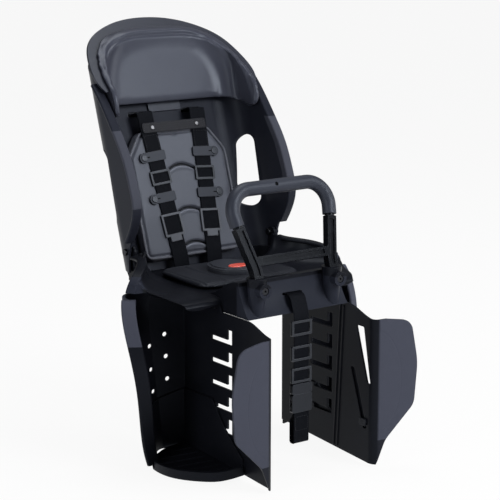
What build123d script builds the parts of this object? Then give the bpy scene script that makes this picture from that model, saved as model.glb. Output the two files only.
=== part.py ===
import os
from math import atan2, cos, degrees, hypot, radians, sin

from build123d import *

os.makedirs("parts", exist_ok=True)

# Rear child bike seat, millimetres and degrees.
# Origin: middle of the four carrier bolts, on the plane where the seat stands on the carrier.
# The rider faces -Y, +X is the rider's left hand and +Z is up.

# Mouldings
wall = 4.0
fit_gap = 0.4

# Backrest
lean = 18.5
back_foot_y = 128.0
back_foot_z = 30.0
back_half_width = 156.0
back_corner = 50.0
back_low = -22.0
back_high = 388.0
back_crown = [(0, back_high), (90, 383), (138, 362), (back_half_width, 336)]
wing_slot_length = 128.0
wing_slot_width = 34.0
rim_width = 17.0
rim_thick = 6.0
lobe_front_y = 86.0
lobe_low_z = 36.0
rib_height = 7.0
rib_x = 62.0

# Seat bowl and pedestal
seat_floor_z = 24.0
bowl_rear_y = 82.0
rear_floor_y = 124.0
rear_floor_low_z = seat_floor_z - wall - 0.6
rear_half_width = 148.0
upstand_x = 114.0
upstand_top_z = 44.0
nose_half_width = 101.0
nose_back_y = -66.0
pedestal_rear_y = 98.0
pedestal_top_z = seat_floor_z - 1.2
apron_top_y = -153.0
apron_top_z = 56.0
apron_low_y = -180.0

# Carrier bolts: M6 through slotted holes
carrier_x = 70.0
carrier_y = 120.0
carrier_slot = 18.0
carrier_hole_r = 3.3
carrier_seat_z = 7.0

# Grip bar and the bosses that hold it
boss_x = 76.0
boss_y = -168.0
boss_top_z = 64.0
boss_top_r = 17.0
boss_low_r = 11.0
screw_boss_r = 12.0
screw_boss_y = -192.0
screw_z = 46.0
grip_lean = 20.0
grip_foot = -26.0
grip_top = 143.0
grip_half = 100.0
grip_shoulder_x = 93.0
cover_low = 82.0
leg_width = 17.0
leg_depth = 14.0
groove_width = 9.0
groove_depth = 3.0
crossbar_height = 15.0
crossbar_up = 25.0
tube_r = 8.0
cover_r = 11.7

# Leg guards
guard_wall = 3.5
guard_inner_x = 103.3
guard_bend_y = -247.0
guard_top_z = 16.0
guard_low_z = -263.0
guard_back_low_z = -245.0
guard_rim_width = 24.0
flap_x = 186.0
step_pitch = 37.6
step_count = 5
step_first_z = -50.0
step_y = -140.0
step_length = 58.0
step_height = 8.0
step_rise = 25.0
step_width = 13.0
peg_hole_r = 4.0
peg_holes = [(138, -56), (136, -94), (134, -133), (164, -74), (163, -114), (160, -152)]

# Footplates
plate_z = -247.0
plate_fall = 0.126
plate_slope = 0.05
plate_thick = 4.0
plate_rim = 16.0
plate_gap = 0.6
plate_inner_x = guard_inner_x + guard_wall / 2 + plate_gap
plate_front_y = -178.0
plate_rear_y = -6.0
tread_pitch = 22.0
tread_count = 9
tread_width = 4.0
tread_height = 1.6
tread_turn = 20.0
heel_top_z = -158.0
heel_wall = 3.0
lug_length = 10.0
lug_end = 2.0
lug_out = 2.0
foot_strap_width = 14.0

# Fasteners
bolt_r = 3.0
bolt_hole_r = 3.3
side_bolt_y = 95.0
side_bolt_z = 70.0
boss_gap = 1.2
side_bolt_length = back_half_width - rear_half_width + 2 * wall
guard_screw_y = (-92.0, -46.0, -10.0)
guard_screw_z = 9.0

# Headrest and its slider
head_gap = 1.0
head_wall = 3.0
head_rake = 0.62
head_tip_forward = 77.0
head_tip_height = 294.0
head_tip_low = 238.0
head_tip_round = 18.0
head_rear_height = 290.0
head_round = 40.0
head_middle = 300.0
head_cushion = 16.0
bead_gap = 1.8
head_pad_proud = 10.0
head_tab_half = 33.0
head_tab_low = 268.0
flange_thick = 4.0
track_half = 8.5
track_low = 287.0
head_travel = 56.0
slider_height = 26.0
slider_plate_width = 44.0
slider_plate_thick = 5.0
slider_screw_pitch = 13.0
slider_screw_r = 2.0
slider_hole_r = 2.2

# Pads
back_pad_thick = 18.4
back_pad_low = 4.0
back_pad_high = 236.0
back_pad_half = 107.0
back_pad_shoulder = 190.0
back_pad_top_half = 75.0
back_pad_round = 8.0
pad_groove_heights = (158.0, 81.0, 21.0)
pad_groove_half = 30.0
pad_groove_width = 5.0
pad_groove_depth = 6.0
seat_pad_low_z = 26.0
seat_pad_thick = 9.0
seat_pad_half = 104.0
seat_pad_front_y = -62.0
seat_pad_rear_y = 92.0

# Harness webbing and what rides on it
strap_width = 32.0
strap_thick = 2.0
strap_top_x = 55.0
strap_low_x = 36.0
strap_top = 266.0
strap_low = 14.0
strap_forward = 21.6
strap_floor_y = 108.0
strap_slot = 3.6
sleeve_gap = 0.35
sleeve_half = 2.5
sewn_end = 4.0
stop_thick = 3.0
stop_low_z = 16.0
yoke_up = 237.0
yoke_half = 66.0
yoke_height = 18.0
yoke_thick = 1.6
rivet_x = 46.0
rivet_r = 2.0
rivet_head_r = 4.0
rivet_head = 1.6
rivet_back = 1.0
keeper_heights = (187.0, 114.0)
keeper_length = 17.0
keeper_rail = 4.0
keeper_ear_x = 24.0
keeper_ear_r = 9.0
snap_r = 4.0
snap_head = 1.6
ladder_rail = 4.0
adjuster_up = 149.0
adjuster_length = 25.0
tongue_up = 65.0
tongue_length = 40.0
tongue_tab_width = 22.0
tongue_tab = 9.0
crotch_y = 12.0

# Crotch buckle
buckle_y = 10.0
buckle_z = seat_pad_low_z + seat_pad_thick + fit_gap
buckle_half_x = 38.0
buckle_half_y = 44.0
buckle_floor = 1.8
buckle_wall = 2.5
buckle_split = 5.5
buckle_step = 8.0
buckle_ledge = 5.0
buckle_top = 10.5
buckle_roof = 2.2
buckle_sewn = 2.0
tongue_entry = 2.2
button_y = -20.0
button_x_r = 18.0
button_y_r = 11.0
button_flange = 2.5
button_travel = 2.5
spring_solid = 1.7
button_flange_z = buckle_z + buckle_floor + button_travel + spring_solid
button_proud = 1.6
spring_r = 6.0
spring_wall = 1.4

# Safety strap and its side-release buckle
safety_half = 15.5
safety_y = -186.0
safety_slot_z = 28.0
safety_anchor_y = -152.0
safety_adjuster_z = (-25.0, -67.0, -104.0)
safety_adjuster_length = 25.0
safety_loop_z = -219.0
safety_loop = 10.0
release_half = 20.0
male_top_z = -118.0
male_height = 17.0
male_half = 4.0
male_bar = 6.0
prong_length = 20.0
prong_half = 2.0
prong_x = 12.0
prong_width = 5.0
female_low_z = -166.0
female_bar = 6.0

back_up = (0, sin(radians(lean)), cos(radians(lean)))
back_out = (0, -cos(radians(lean)), sin(radians(lean)))
back_foot = (0, back_foot_y, back_foot_z)
# Plan sections of the backrest lie square to its length; local y points to the rear.
back_plan = Plane(origin=back_foot, x_dir=(1, 0, 0), z_dir=back_up)
# Front elevations of the backrest: local x is X, local y runs up the back, the normal points forward.
back_face = Plane(origin=back_foot, x_dir=(1, 0, 0), z_dir=back_out)
grip_plane = Plane(
    origin=(0, boss_y, boss_top_z),
    x_dir=(1, 0, 0),
    z_dir=(0, -cos(radians(grip_lean)), sin(radians(grip_lean))),
)

# Side elevation of the wing's front edge, from the top down to the lobe beside the hip.
wing_edge = [
    (178, 344), (158, 325), (114, 274),
    (83, 232), (60, 182), (52, 147), (60, 120), (78, 91), (lobe_front_y, 64),
]
rim_x = back_half_width + rim_width / 2 - wall


def arch(points, low):
    """Symmetric arch through points given from the crown outwards, closed below."""
    half = [(-x, y) for x, y in reversed(points[1:])]
    Spline(*half, *points)
    tail = points[-1]
    Polyline(tail, (tail[0], low), (-tail[0], low), half[0])


with BuildPart() as back_shell:
    with BuildSketch(back_plan.offset(back_low)) as back_section:
        with Locations((0, wall)):
            Rectangle(2 * back_half_width, 200, align=(Align.CENTER, Align.MAX))
        fillet(back_section.vertices().group_by(Axis.Y)[-1], back_corner)
        offset(amount=-wall, mode=Mode.SUBTRACT)
    extrude(amount=back_high - back_low)
    with BuildSketch(back_face.offset(-50)):
        with BuildLine():
            arch(back_crown, back_low)
        make_face()
    extrude(amount=400, mode=Mode.INTERSECT)
    with BuildSketch(Plane.YZ):
        with BuildLine():
            Spline(*wing_edge)
            Polyline(
                wing_edge[-1],
                (lobe_front_y, lobe_low_z),
                (lobe_front_y + 32, lobe_low_z),
                (lobe_front_y + 32, -60),
                (-300, -60),
                (-300, 600),
                (wing_edge[0][0] + 270, 600),
                (wing_edge[0][0] + 75, wing_edge[0][1] + 60),
                wing_edge[0],
            )
        make_face()
    extrude(amount=back_half_width + wall, both=True, mode=Mode.SUBTRACT)
    for side in (1, -1):
        with BuildSketch(Plane.YZ.offset(side * 124)):
            with Locations(Location((156, 173), 76)):
                SlotOverall(wing_slot_length, wing_slot_width)
        extrude(amount=side * 60, mode=Mode.SUBTRACT)
    for side in (1, -1):
        with BuildLine(Plane.YZ.offset(side * rim_x)) as rim_path:
            Spline(*wing_edge[:-1])
        rim_line = rim_path.line
        with BuildSketch(Plane(origin=rim_line @ 0, x_dir=(1, 0, 0), z_dir=rim_line % 0)):
            RectangleRounded(rim_width, rim_thick, 0.4 * rim_thick)
        sweep(path=rim_line)
    # Slots for the headrest track and the shoulder straps, holes for the side bolts.
    with BuildSketch(back_face.offset(-2 * wall)):
        with Locations((0, track_low - fit_gap)):
            Rectangle(
                2 * track_half,
                head_travel + slider_height + 2 * fit_gap,
                align=(Align.CENTER, Align.MIN),
            )
        with Locations((strap_top_x, strap_top), (-strap_top_x, strap_top)):
            SlotOverall(strap_width + 10, 9)
    extrude(amount=3 * wall, mode=Mode.SUBTRACT)
    with Locations(Location((0, side_bolt_y, side_bolt_z), (0, 90, 0))):
        Cylinder(bolt_hole_r, 400, mode=Mode.SUBTRACT)
    # Stiffening ribs on the rear face.
    with BuildSketch(back_face.offset(-wall)):
        with Locations((rib_x, 10), (-rib_x, 10)):
            Rectangle(wall, 215, align=(Align.CENTER, Align.MIN))
        with Locations((0, 60), (0, 130), (0, 200)):
            Rectangle(2 * rib_x, wall)
    extrude(amount=-rib_height)

# Seat bowl stations from the hips to the front lip: Y, half width at the rim, rim height, floor height.
bowl_stations = [
    (bowl_rear_y, 147, 63, seat_floor_z),
    (50, 151, 62.5, seat_floor_z),
    (28, 164, 61, seat_floor_z),
    (6, 182, 57, seat_floor_z),
    (-15, 198, 45, seat_floor_z),
    (-45, 193, 32, seat_floor_z),
    (-75, 181, 26, seat_floor_z),
    (-98, 173, 22, seat_floor_z - 2),
    (-108, 168, 14, seat_floor_z - 10),
]


def bowl_section(half, rim, floor):
    """Thin-walled cross-section of the bowl, made of one curve above and one below."""
    rise = rim - floor
    top = [
        (-half, rim),
        (-0.93 * half, floor + 0.4 * rise),
        (-0.76 * half, floor + 0.06 * rise),
        (0, floor),
    ]
    top = top + [(-x, z) for x, z in reversed(top[:-1])]
    low = [(-half - wall, rim), (-0.94 * half - wall, floor + 0.4 * rise - wall)]
    low = low + [(-0.76 * half, floor + 0.06 * rise - wall), (0, floor - wall)]
    low = low + [(-x, z) for x, z in reversed(low[:-1])]
    Spline(*top)
    Line(top[-1], low[-1])
    Spline(*reversed(low))
    Line(low[0], top[0])


def nose_profile(inset):
    """Side elevation of the nose: concave apron in front, hump on top, open below."""
    low = (apron_low_y + inset, 0)
    high = (apron_top_y + inset, apron_top_z - inset)
    back = (nose_back_y, seat_floor_z - inset)
    ThreePointArc(low, (apron_top_y + inset - 8, 0.5 * apron_top_z), high)
    Spline(high, (apron_top_y + 40, apron_top_z - inset - 12), back, tangents=((1, 0.05), (1, -0.1)))
    Polyline(back, (nose_back_y, 0), low)


# Rolled rim of the bowl: point on the edge and the direction in which the edge runs.
bowl_rim = [
    ((150, 79, 63), (0.05, -1, 0)),
    ((154, 50, 62.5), (0.25, -1, -0.02)),
    ((168, 28, 61), (0.7, -1, -0.08)),
    ((187, 6, 56), (0.8, -1, -0.4)),
    ((205, -8, 45), (0.7, -0.5, -0.9)),
    ((216, -13, 28), (0.3, -0.2, -1)),
]

with BuildPart() as seat_base:
    with BuildSketch(Plane.YZ):
        with BuildLine():
            nose_profile(0)
        make_face()
    extrude(amount=nose_half_width, both=True)
    with BuildSketch(Plane.YZ):
        with BuildLine():
            nose_profile(wall)
        make_face()
    extrude(amount=nose_half_width - wall, both=True, mode=Mode.SUBTRACT)
    for side in (1, -1):
        with BuildSketch(Plane.XY):
            with Locations((side * boss_x, boss_y)):
                Circle(boss_low_r)
        with BuildSketch(Plane.XY.offset(boss_top_z)):
            with Locations((side * boss_x, boss_y)):
                Circle(boss_top_r)
        loft()
        with BuildSketch(Plane(origin=(side * boss_x, boss_y, screw_z), x_dir=(1, 0, 0), z_dir=(0, -1, 0))):
            Circle(screw_boss_r)
        extrude(amount=boss_y - screw_boss_y)
    for y, half, rim, floor in bowl_stations:
        with BuildSketch(Plane(origin=(0, y, 0), x_dir=(1, 0, 0), z_dir=(0, -1, 0))):
            with BuildLine():
                bowl_section(half, rim, floor)
            make_face()
    loft()
    # Rear floor between the wings.
    with BuildSketch(Plane.XY.offset(rear_floor_low_z)) as rear_floor:
        with Locations((0, rear_floor_y)):
            Rectangle(2 * rear_half_width, rear_floor_y - bowl_rear_y + 10, align=(Align.CENTER, Align.MAX))
        fillet(rear_floor.vertices().group_by(Axis.Y)[-1], back_corner - wall)
    extrude(amount=seat_floor_z - rear_floor_low_z)
    # Upstand round the rear corners of the floor, inside the foot of the back.
    with BuildSketch(Plane.XY.offset(seat_floor_z - wall / 2)) as upstand:
        with Locations((0, rear_floor_y)):
            Rectangle(2 * rear_half_width, rear_floor_y - bowl_rear_y + 10, align=(Align.CENTER, Align.MAX))
        fillet(upstand.vertices().group_by(Axis.Y)[-1], back_corner - wall)
        offset(amount=-wall, mode=Mode.SUBTRACT)
        with Locations((0, rear_floor_y)):
            Rectangle(2 * upstand_x, 4 * wall, mode=Mode.SUBTRACT)
        with Locations((0, bowl_rear_y + wall)):
            Rectangle(4 * rear_half_width, 60, align=(Align.CENTER, Align.MAX), mode=Mode.SUBTRACT)
    extrude(amount=upstand_top_z - seat_floor_z + wall / 2)
    # Ears that carry the side bolts.
    for side in (1, -1):
        with BuildSketch(Plane.YZ.offset(side * rear_half_width)):
            with Locations((bowl_rear_y - 2, seat_floor_z - wall)):
                Rectangle(20, side_bolt_z - seat_floor_z + wall, align=Align.MIN)
            with Locations((bowl_rear_y + 8, side_bolt_z)):
                Circle(10)
        extrude(amount=-side * wall)
        with BuildSketch(Plane.YZ.offset(side * (rear_half_width - wall))):
            with Locations((side_bolt_y, side_bolt_z)):
                Circle(7)
        extrude(amount=side * (back_half_width - boss_gap - rear_half_width))
    # Pedestal walls under the bowl.
    with BuildSketch(Plane.XY) as pedestal:
        with Locations((0, nose_back_y - 2)):
            Rectangle(
                2 * nose_half_width,
                pedestal_rear_y - nose_back_y + 2,
                align=(Align.CENTER, Align.MIN),
            )
        with Locations((0, nose_back_y - 2)):
            Rectangle(
                2 * (nose_half_width - wall),
                pedestal_rear_y - nose_back_y + 2 - wall,
                align=(Align.CENTER, Align.MIN),
                mode=Mode.SUBTRACT,
            )
    extrude(amount=pedestal_top_z)
    with BuildSketch(Plane.XY):
        with GridLocations(carrier_x, carrier_y, 2, 2):
            RectangleRounded(34, 24, 6)
        with GridLocations(carrier_x, carrier_y, 1, 2):
            Rectangle(2 * nose_half_width - wall, wall)
    extrude(amount=pedestal_top_z)
    # Rolled rim along the hips.
    for side in (1, -1):
        for (x, y, z), (run_x, run_y, run_z) in bowl_rim:
            with BuildSketch(Plane(
                origin=(side * x, y, z),
                x_dir=(side * -run_y, run_x, 0),
                z_dir=(side * run_x, run_y, run_z),
            )):
                RectangleRounded(rim_width, rim_thick, 0.4 * rim_thick)
        loft()
    # Slotted carrier holes with a seat for the bolt heads.
    with BuildSketch(Plane.XY):
        with GridLocations(carrier_x, carrier_y, 2, 2):
            SlotOverall(carrier_slot, 2 * carrier_hole_r)
    extrude(amount=seat_floor_z, mode=Mode.SUBTRACT)
    with BuildSketch(Plane.XY.offset(carrier_seat_z)):
        with GridLocations(carrier_x, carrier_y, 2, 2):
            SlotOverall(carrier_slot + 10, 15)
    extrude(amount=seat_floor_z, mode=Mode.SUBTRACT)
    # Grip sockets, grip screws, side bolts and guard screws.
    for side in (1, -1):
        with BuildSketch(grip_plane):
            with Locations((side * boss_x, grip_foot - fit_gap)):
                Rectangle(leg_width + 2 * fit_gap, 60, align=(Align.CENTER, Align.MIN))
        extrude(amount=leg_depth / 2 + fit_gap, both=True, mode=Mode.SUBTRACT)
        with Locations(Location((side * boss_x, screw_boss_y, screw_z), (90, 0, 0))):
            Cylinder(bolt_hole_r, 80, mode=Mode.SUBTRACT)
            Cylinder(6.4, 12, mode=Mode.SUBTRACT)
    with Locations(Location((0, side_bolt_y, side_bolt_z), (0, 90, 0))):
        Cylinder(bolt_hole_r, 400, mode=Mode.SUBTRACT)
    for y in guard_screw_y:
        with Locations(Location((0, y, guard_screw_z), (0, 90, 0))):
            Cylinder(bolt_hole_r, 300, mode=Mode.SUBTRACT)
    # Strap slots: safety strap in the apron, crotch strap and shoulder straps in the floor.
    with BuildSketch(Plane(origin=(0, apron_low_y, safety_slot_z), x_dir=(1, 0, 0), z_dir=(0, -1, 0))):
        SlotOverall(strap_width + 8, strap_slot)
    extrude(amount=40, both=True, mode=Mode.SUBTRACT)
    with BuildSketch(Plane.XY):
        with Locations((0, crotch_y)):
            SlotOverall(strap_width + 6, 5)
        with Locations((strap_low_x, strap_floor_y), (-strap_low_x, strap_floor_y)):
            SlotOverall(strap_width + 8, 8)
    extrude(amount=30, mode=Mode.SUBTRACT)

grip_run = [
    (grip_shoulder_x, cover_low),
    (grip_half + 3, grip_top),
    (-grip_half - 3, grip_top),
    (-grip_shoulder_x, cover_low),
]

with BuildPart() as grip_frame:
    with BuildSketch(grip_plane):
        for side in (1, -1):
            with BuildLine():
                FilletPolyline(
                    (side * boss_x, grip_foot),
                    (side * boss_x, 12),
                    (side * grip_shoulder_x, cover_low),
                    radius=40,
                )
            trace(line_width=leg_width)
        with Locations((0, crossbar_up)):
            Rectangle(2 * boss_x + 8, crossbar_height)
    extrude(amount=leg_depth / 2, both=True)
    # Lightening grooves front and rear leave an I-section.
    for side in (1, -1):
        with BuildSketch(grip_plane.offset(side * (leg_depth / 2 - groove_depth))):
            for hand in (1, -1):
                with BuildLine():
                    FilletPolyline(
                        (hand * boss_x, 2),
                        (hand * boss_x, 12),
                        (hand * (grip_shoulder_x - 1), cover_low - 5),
                        radius=30,
                    )
                trace(line_width=groove_width)
            with Locations((0, crossbar_up)):
                Rectangle(2 * boss_x - leg_width - 8, 0.55 * crossbar_height)
        extrude(amount=side * leg_depth, mode=Mode.SUBTRACT)
    with BuildLine(grip_plane) as grip_path:
        FilletPolyline(*grip_run, radius=38)
    with BuildSketch(Plane(origin=grip_path.line @ 0, z_dir=grip_path.line % 0)):
        Circle(tube_r)
    sweep(path=grip_path.line)
    for side in (1, -1):
        with Locations(Location((side * boss_x, screw_boss_y, screw_z), (90, 0, 0))):
            Cylinder(bolt_hole_r, 80, mode=Mode.SUBTRACT)

cover_start = 0.012
with BuildPart() as grip_cover:
    cover_path = grip_path.wires()[0].trim(cover_start, 1 - cover_start)
    with BuildSketch(Plane(origin=cover_path @ 0, z_dir=cover_path % 0)):
        Circle(cover_r)
        Circle(tube_r + fit_gap, mode=Mode.SUBTRACT)
    sweep(path=cover_path)

with BuildPart() as grip_screws:
    for side in (1, -1):
        with Locations(Location((side * boss_x, screw_boss_y + 1, screw_z), (-90, 0, 0))):
            Cylinder(5.6, 4.4, align=(Align.CENTER, Align.CENTER, Align.MIN))
            Cylinder(bolt_r, 26, align=(Align.CENTER, Align.CENTER, Align.MIN))
            Cylinder(2.2, 2.5, align=(Align.CENTER, Align.CENTER, Align.MIN), mode=Mode.SUBTRACT)

with BuildPart() as side_bolts:
    for side in (1, -1):
        bolt_seat = (side * (rear_half_width - wall), side_bolt_y, side_bolt_z)
        with Locations(Location(bolt_seat, (0, 90 * side, 0))):
            Cylinder(6.0, 4.5, align=(Align.CENTER, Align.CENTER, Align.MAX))
            Cylinder(bolt_r, side_bolt_length, align=(Align.CENTER, Align.CENTER, Align.MIN))
        with Locations(Location((side * back_half_width, side_bolt_y, side_bolt_z), (0, 90 * side, 0))):
            Cylinder(5.6, wall, align=(Align.CENTER, Align.CENTER, Align.MIN))

# Leg guards, modelled on the rider's left.
# Rim stations from the hip down to the foot: height, outer edge and inner edge of the rolled rim in plan.
guard_rim = [
    (18, (232, -10), (209, -19)),
    (-30, (240, -28), (217, -42)),
    (-80, (235, -41), (212, -53)),
    (-150, (225, -47), (202, -52)),
    (-254, (212, -54), (190, -52)),
]


def well_band(station, near, far):
    """Plan of the well's wall at one height, between two depths measured in from its outer face."""
    z, outer, inner = station
    x = 0.5 * (outer[0] + inner[0])
    y = 0.5 * (outer[1] + inner[1])
    faces = []
    for depth in (near, far):
        corner = (guard_inner_x, -depth)
        knee = (0.72 * x, 18 + 0.03 * z - depth)
        middle = (x - 12 - depth, y + 36 - depth)
        faces.append((corner, knee, middle, (x - depth, y)))
    back, front = faces
    Line(back[0], back[1])
    ThreePointArc(back[1], back[2], back[3])
    Line(back[3], front[3])
    ThreePointArc(front[3], front[2], front[1])
    Polyline(front[1], front[0], back[0])


with BuildPart() as leg_guard_left:
    with BuildSketch(Plane.XY.offset(guard_low_z)):
        with BuildLine():
            FilletPolyline(
                (guard_inner_x, 0),
                (guard_inner_x, guard_bend_y),
                (flap_x + 8, guard_bend_y - 10),
                radius=12,
            )
        trace(line_width=guard_wall)
    extrude(amount=guard_top_z - guard_low_z)
    # Top edge: beside the pedestal at the rear, then level with the apron, then falling to the bend.
    with BuildSketch(Plane.YZ):
        with BuildLine():
            Spline((apron_low_y + 4, 0), (-200, -4), (-222, -12), (guard_bend_y, -16))
            Polyline(
                (guard_bend_y, -16),
                (-300, -18),
                (-300, 40),
                (-104, 40),
                (-104, guard_top_z),
                (-112, 0),
                (apron_low_y + 4, 0),
            )
        make_face()
    extrude(amount=300, mode=Mode.SUBTRACT)
    # Lower edge rises towards the rear.
    with BuildSketch(Plane.YZ):
        with BuildLine():
            Polyline((10, guard_back_low_z), (10, -300), (-300, -300), (-300, guard_low_z - 3), close=True)
        make_face()
    extrude(amount=300, mode=Mode.SUBTRACT)
    # Flap outline in front elevation.
    with BuildSketch(Plane.XZ.offset(200)):
        with BuildLine():
            flap_edge = FilletPolyline(
                (guard_inner_x + 10, -14),
                (174, -24),
                (188, -96),
                (182, -168),
                (126, -222),
                (guard_inner_x, -276),
                radius=[24, 120, 26, 40],
            )
            Polyline(
                flap_edge @ 1,
                (guard_inner_x, -300),
                (300, -300),
                (300, 20),
                (guard_inner_x + 10, 20),
                flap_edge @ 0,
            )
        make_face()
    extrude(amount=100, mode=Mode.SUBTRACT)
    # Hooking slots for the footplate, and the two strap slots.
    with BuildSketch(Plane.YZ.offset(guard_inner_x)):
        for step in range(step_count):
            with Locations((step_y, step_first_z - step_pitch * step)):
                Rectangle(step_length, step_height, align=Align.MIN)
                Rectangle(step_width, step_rise, align=Align.MIN)
        with BuildLine():
            FilletPolyline((-202, -32), (-222, -32), (-240, -126), (-232, -126), radius=3, close=True)
        make_face()
        with BuildLine():
            FilletPolyline((-189, -105), (-199, -105), (-233, -204), (-223, -204), radius=3, close=True)
        make_face()
    extrude(amount=10, both=True, mode=Mode.SUBTRACT)
    for y in guard_screw_y:
        with Locations(Location((0, y, guard_screw_z), (0, 90, 0))):
            Cylinder(bolt_hole_r, 300, mode=Mode.SUBTRACT)
    # Twin ribs on the wheel side.
    with BuildSketch(Plane.YZ.offset(guard_inner_x - guard_wall / 2)):
        for shift in (0, 9):
            with BuildLine():
                Line((-170 + shift, -6), (-156 + shift, -252))
            trace(line_width=2.4)
    extrude(amount=-1.6)
    # Well: back wall and outer wall, one loft down the leg.
    for station in guard_rim:
        with BuildSketch(Plane.XY.offset(station[0])):
            with BuildLine():
                well_band(station, 0, guard_wall)
            make_face()
    loft()
    for z, outer, inner in guard_rim:
        with BuildSketch(Plane(
            origin=(0.5 * (outer[0] + inner[0]), 0.5 * (outer[1] + inner[1]), z),
            x_dir=(outer[0] - inner[0], outer[1] - inner[1], 0),
            z_dir=(0, 0, 1),
        )):
            RectangleRounded(guard_rim_width, rim_thick, 0.4 * rim_thick)
    loft()
    # Peg holes in the back wall, two staggered columns.
    with BuildSketch(Plane.XZ.offset(-60)):
        for x, z in peg_holes:
            with Locations((x, z)):
                Circle(peg_hole_r)
    extrude(amount=60, mode=Mode.SUBTRACT)

with BuildPart() as leg_guard_right:
    mirror(leg_guard_left.part, about=Plane.YZ)

with BuildPart() as guard_screws:
    for side in (1, -1):
        for y in guard_screw_y:
            screw_seat = (side * (guard_inner_x + guard_wall / 2), y, guard_screw_z)
            with Locations(Location(screw_seat, (0, 90 * side, 0))):
                Cylinder(5.5, 3.2, align=(Align.CENTER, Align.CENTER, Align.MIN))
                Cylinder(bolt_r, 12, align=(Align.CENTER, Align.CENTER, Align.MAX))

# Footplates: a treaded tray, tilted a little outwards, with its heel wall and gusset in the well.
plate_plane = Plane(
    origin=(plate_inner_x, 0, plate_z),
    x_dir=(1 + plate_slope**2, plate_slope * plate_fall, -plate_fall),
    z_dir=(plate_fall, -plate_slope, 1),
)
foot_x = 0.5 * (guard_rim[-1][1][0] + guard_rim[-1][2][0]) - plate_inner_x
foot_y = guard_rim[-1][1][1]


def plate_outline(inset):
    """Plan of the tray, drawn in from its edge."""
    inner = (inset, plate_front_y + inset)
    outer = (foot_x + 2 - inset, foot_y)
    heel = (0.4 * foot_x, plate_rear_y - inset)
    Polyline(inner, (inset, plate_rear_y - inset), heel)
    ThreePointArc(heel, (foot_x - 18 - inset, foot_y + 28 - inset), outer)
    Spline(
        outer,
        (foot_x - 4 - inset, foot_y - 52),
        (foot_x - 34 - inset, foot_y - 100 + inset),
        inner,
        tangents=((0.1, -1), (-1, -0.05)),
    )


with BuildPart() as footplate_left:
    with BuildSketch(plate_plane):
        with BuildLine():
            plate_outline(0)
        make_face()
    extrude(amount=plate_thick)
    # Raised rim along the open front.
    with BuildSketch(plate_plane):
        with BuildLine():
            plate_outline(0)
        make_face()
        with BuildLine():
            plate_outline(wall)
        make_face(mode=Mode.SUBTRACT)
        with Locations((0, foot_y - rim_thick)):
            Rectangle(600, 200, align=(Align.CENTER, Align.MIN), mode=Mode.SUBTRACT)
        Rectangle(2 * wall, 600, mode=Mode.SUBTRACT)
    extrude(amount=plate_rim)
    # Tread ribs.
    with BuildSketch(plate_plane.offset(plate_thick)):
        with Locations((0.5 * foot_x, 0.5 * plate_front_y)):
            with GridLocations(0, tread_pitch, 1, tread_count):
                Rectangle(140, tread_width, rotation=tread_turn)
        with BuildLine():
            plate_outline(10)
        make_face(mode=Mode.INTERSECT)
    extrude(amount=tread_height)
    # Heel wall just inside the well, cut to its slanting top edge.
    with BuildPart(mode=Mode.PRIVATE) as heel:
        for station in guard_rim[-2:]:
            with BuildSketch(Plane.XY.offset(station[0])):
                with BuildLine():
                    well_band(station, guard_wall + plate_gap, guard_wall + plate_gap + heel_wall)
                make_face()
        loft()
        split(bisect_by=plate_plane.offset(plate_thick / 2), keep=Keep.TOP)
        with BuildSketch(Plane.XZ.offset(-60)):
            with BuildLine():
                Polyline(
                    (plate_inner_x, guard_low_z),
                    (178, guard_low_z),
                    (176, heel_top_z - 14),
                    (113, heel_top_z + 5),
                    (plate_inner_x, heel_top_z + 6),
                    close=True,
                )
            make_face()
        extrude(amount=200, mode=Mode.INTERSECT)
    add(heel.part)
    # Inner gusset with lugs that hook into the guard's slots.
    with BuildSketch(Plane.YZ.offset(plate_inner_x)):
        with BuildLine():
            Polyline(
                (plate_rear_y, heel_top_z + 6),
                (plate_rear_y, plate_z + plate_slope * plate_rear_y + plate_thick / 2),
                (plate_front_y + 2, plate_z + plate_slope * plate_front_y + plate_thick / 2),
                (plate_front_y + 6, plate_z + plate_rim),
                (-126, -194),
                (-88, heel_top_z + 8),
                close=True,
            )
        make_face()
    extrude(amount=heel_wall)
    with BuildSketch(Plane.YZ.offset(plate_inner_x)):
        for step in (step_count - 2, step_count - 1):
            with Locations((step_y + step_length - lug_end, step_first_z - step_pitch * step + fit_gap)):
                Rectangle(lug_length, step_height - 2 * fit_gap, align=(Align.MAX, Align.MIN))
    extrude(amount=guard_inner_x - guard_wall / 2 - lug_out - plate_inner_x)

with BuildPart() as footplate_right:
    mirror(footplate_left.part, about=Plane.YZ)

# Foot straps lie on the well side of the guards' lower slot, with a hook through its lower end.
with BuildPart() as foot_strap_left:
    with BuildSketch(Plane.YZ.offset(guard_inner_x + guard_wall / 2 + fit_gap)):
        with BuildLine():
            Line((-190, -98), (-227, -210))
        trace(line_width=foot_strap_width)
    extrude(amount=strap_thick)
    with BuildSketch(Plane.YZ.offset(guard_inner_x + guard_wall / 2 + fit_gap)):
        with Locations((-224, -193)):
            Rectangle(5, 12)
    extrude(amount=-guard_wall - 2 * fit_gap)
    with BuildSketch(Plane.YZ.offset(guard_inner_x - guard_wall / 2 - fit_gap)):
        with Locations((-224, -193)):
            RectangleRounded(16, 12, 3)
    extrude(amount=-2.5)

with BuildPart() as foot_strap_right:
    mirror(foot_strap_left.part, about=Plane.YZ)

# Headrest in its lowest place. Arches run from the crown outwards.
head_edge = [(0, 422), (62, 417), (108, 399), (136, 360), (146, 318), (148, 280)]
flange_edge = [(0, 441), (60, 434), (98, 420), (139, 389), (157, 351), (162, 315), (156, 297)]
bead_edge = [(0, 424), (62, 419), (112, 400), (141, 361), (150, 318), (149, 280)]
cushion_edge = [(0, 409), (56, 405), (100, 388), (127, 352), (136, 310), (138, 270)]
out_axis = Axis(back_foot, back_out)
# Side elevation of the back: local x points forward, local y runs up the back.
back_side = Plane(origin=back_foot, x_dir=back_out, z_dir=(-1, 0, 0))
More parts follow.
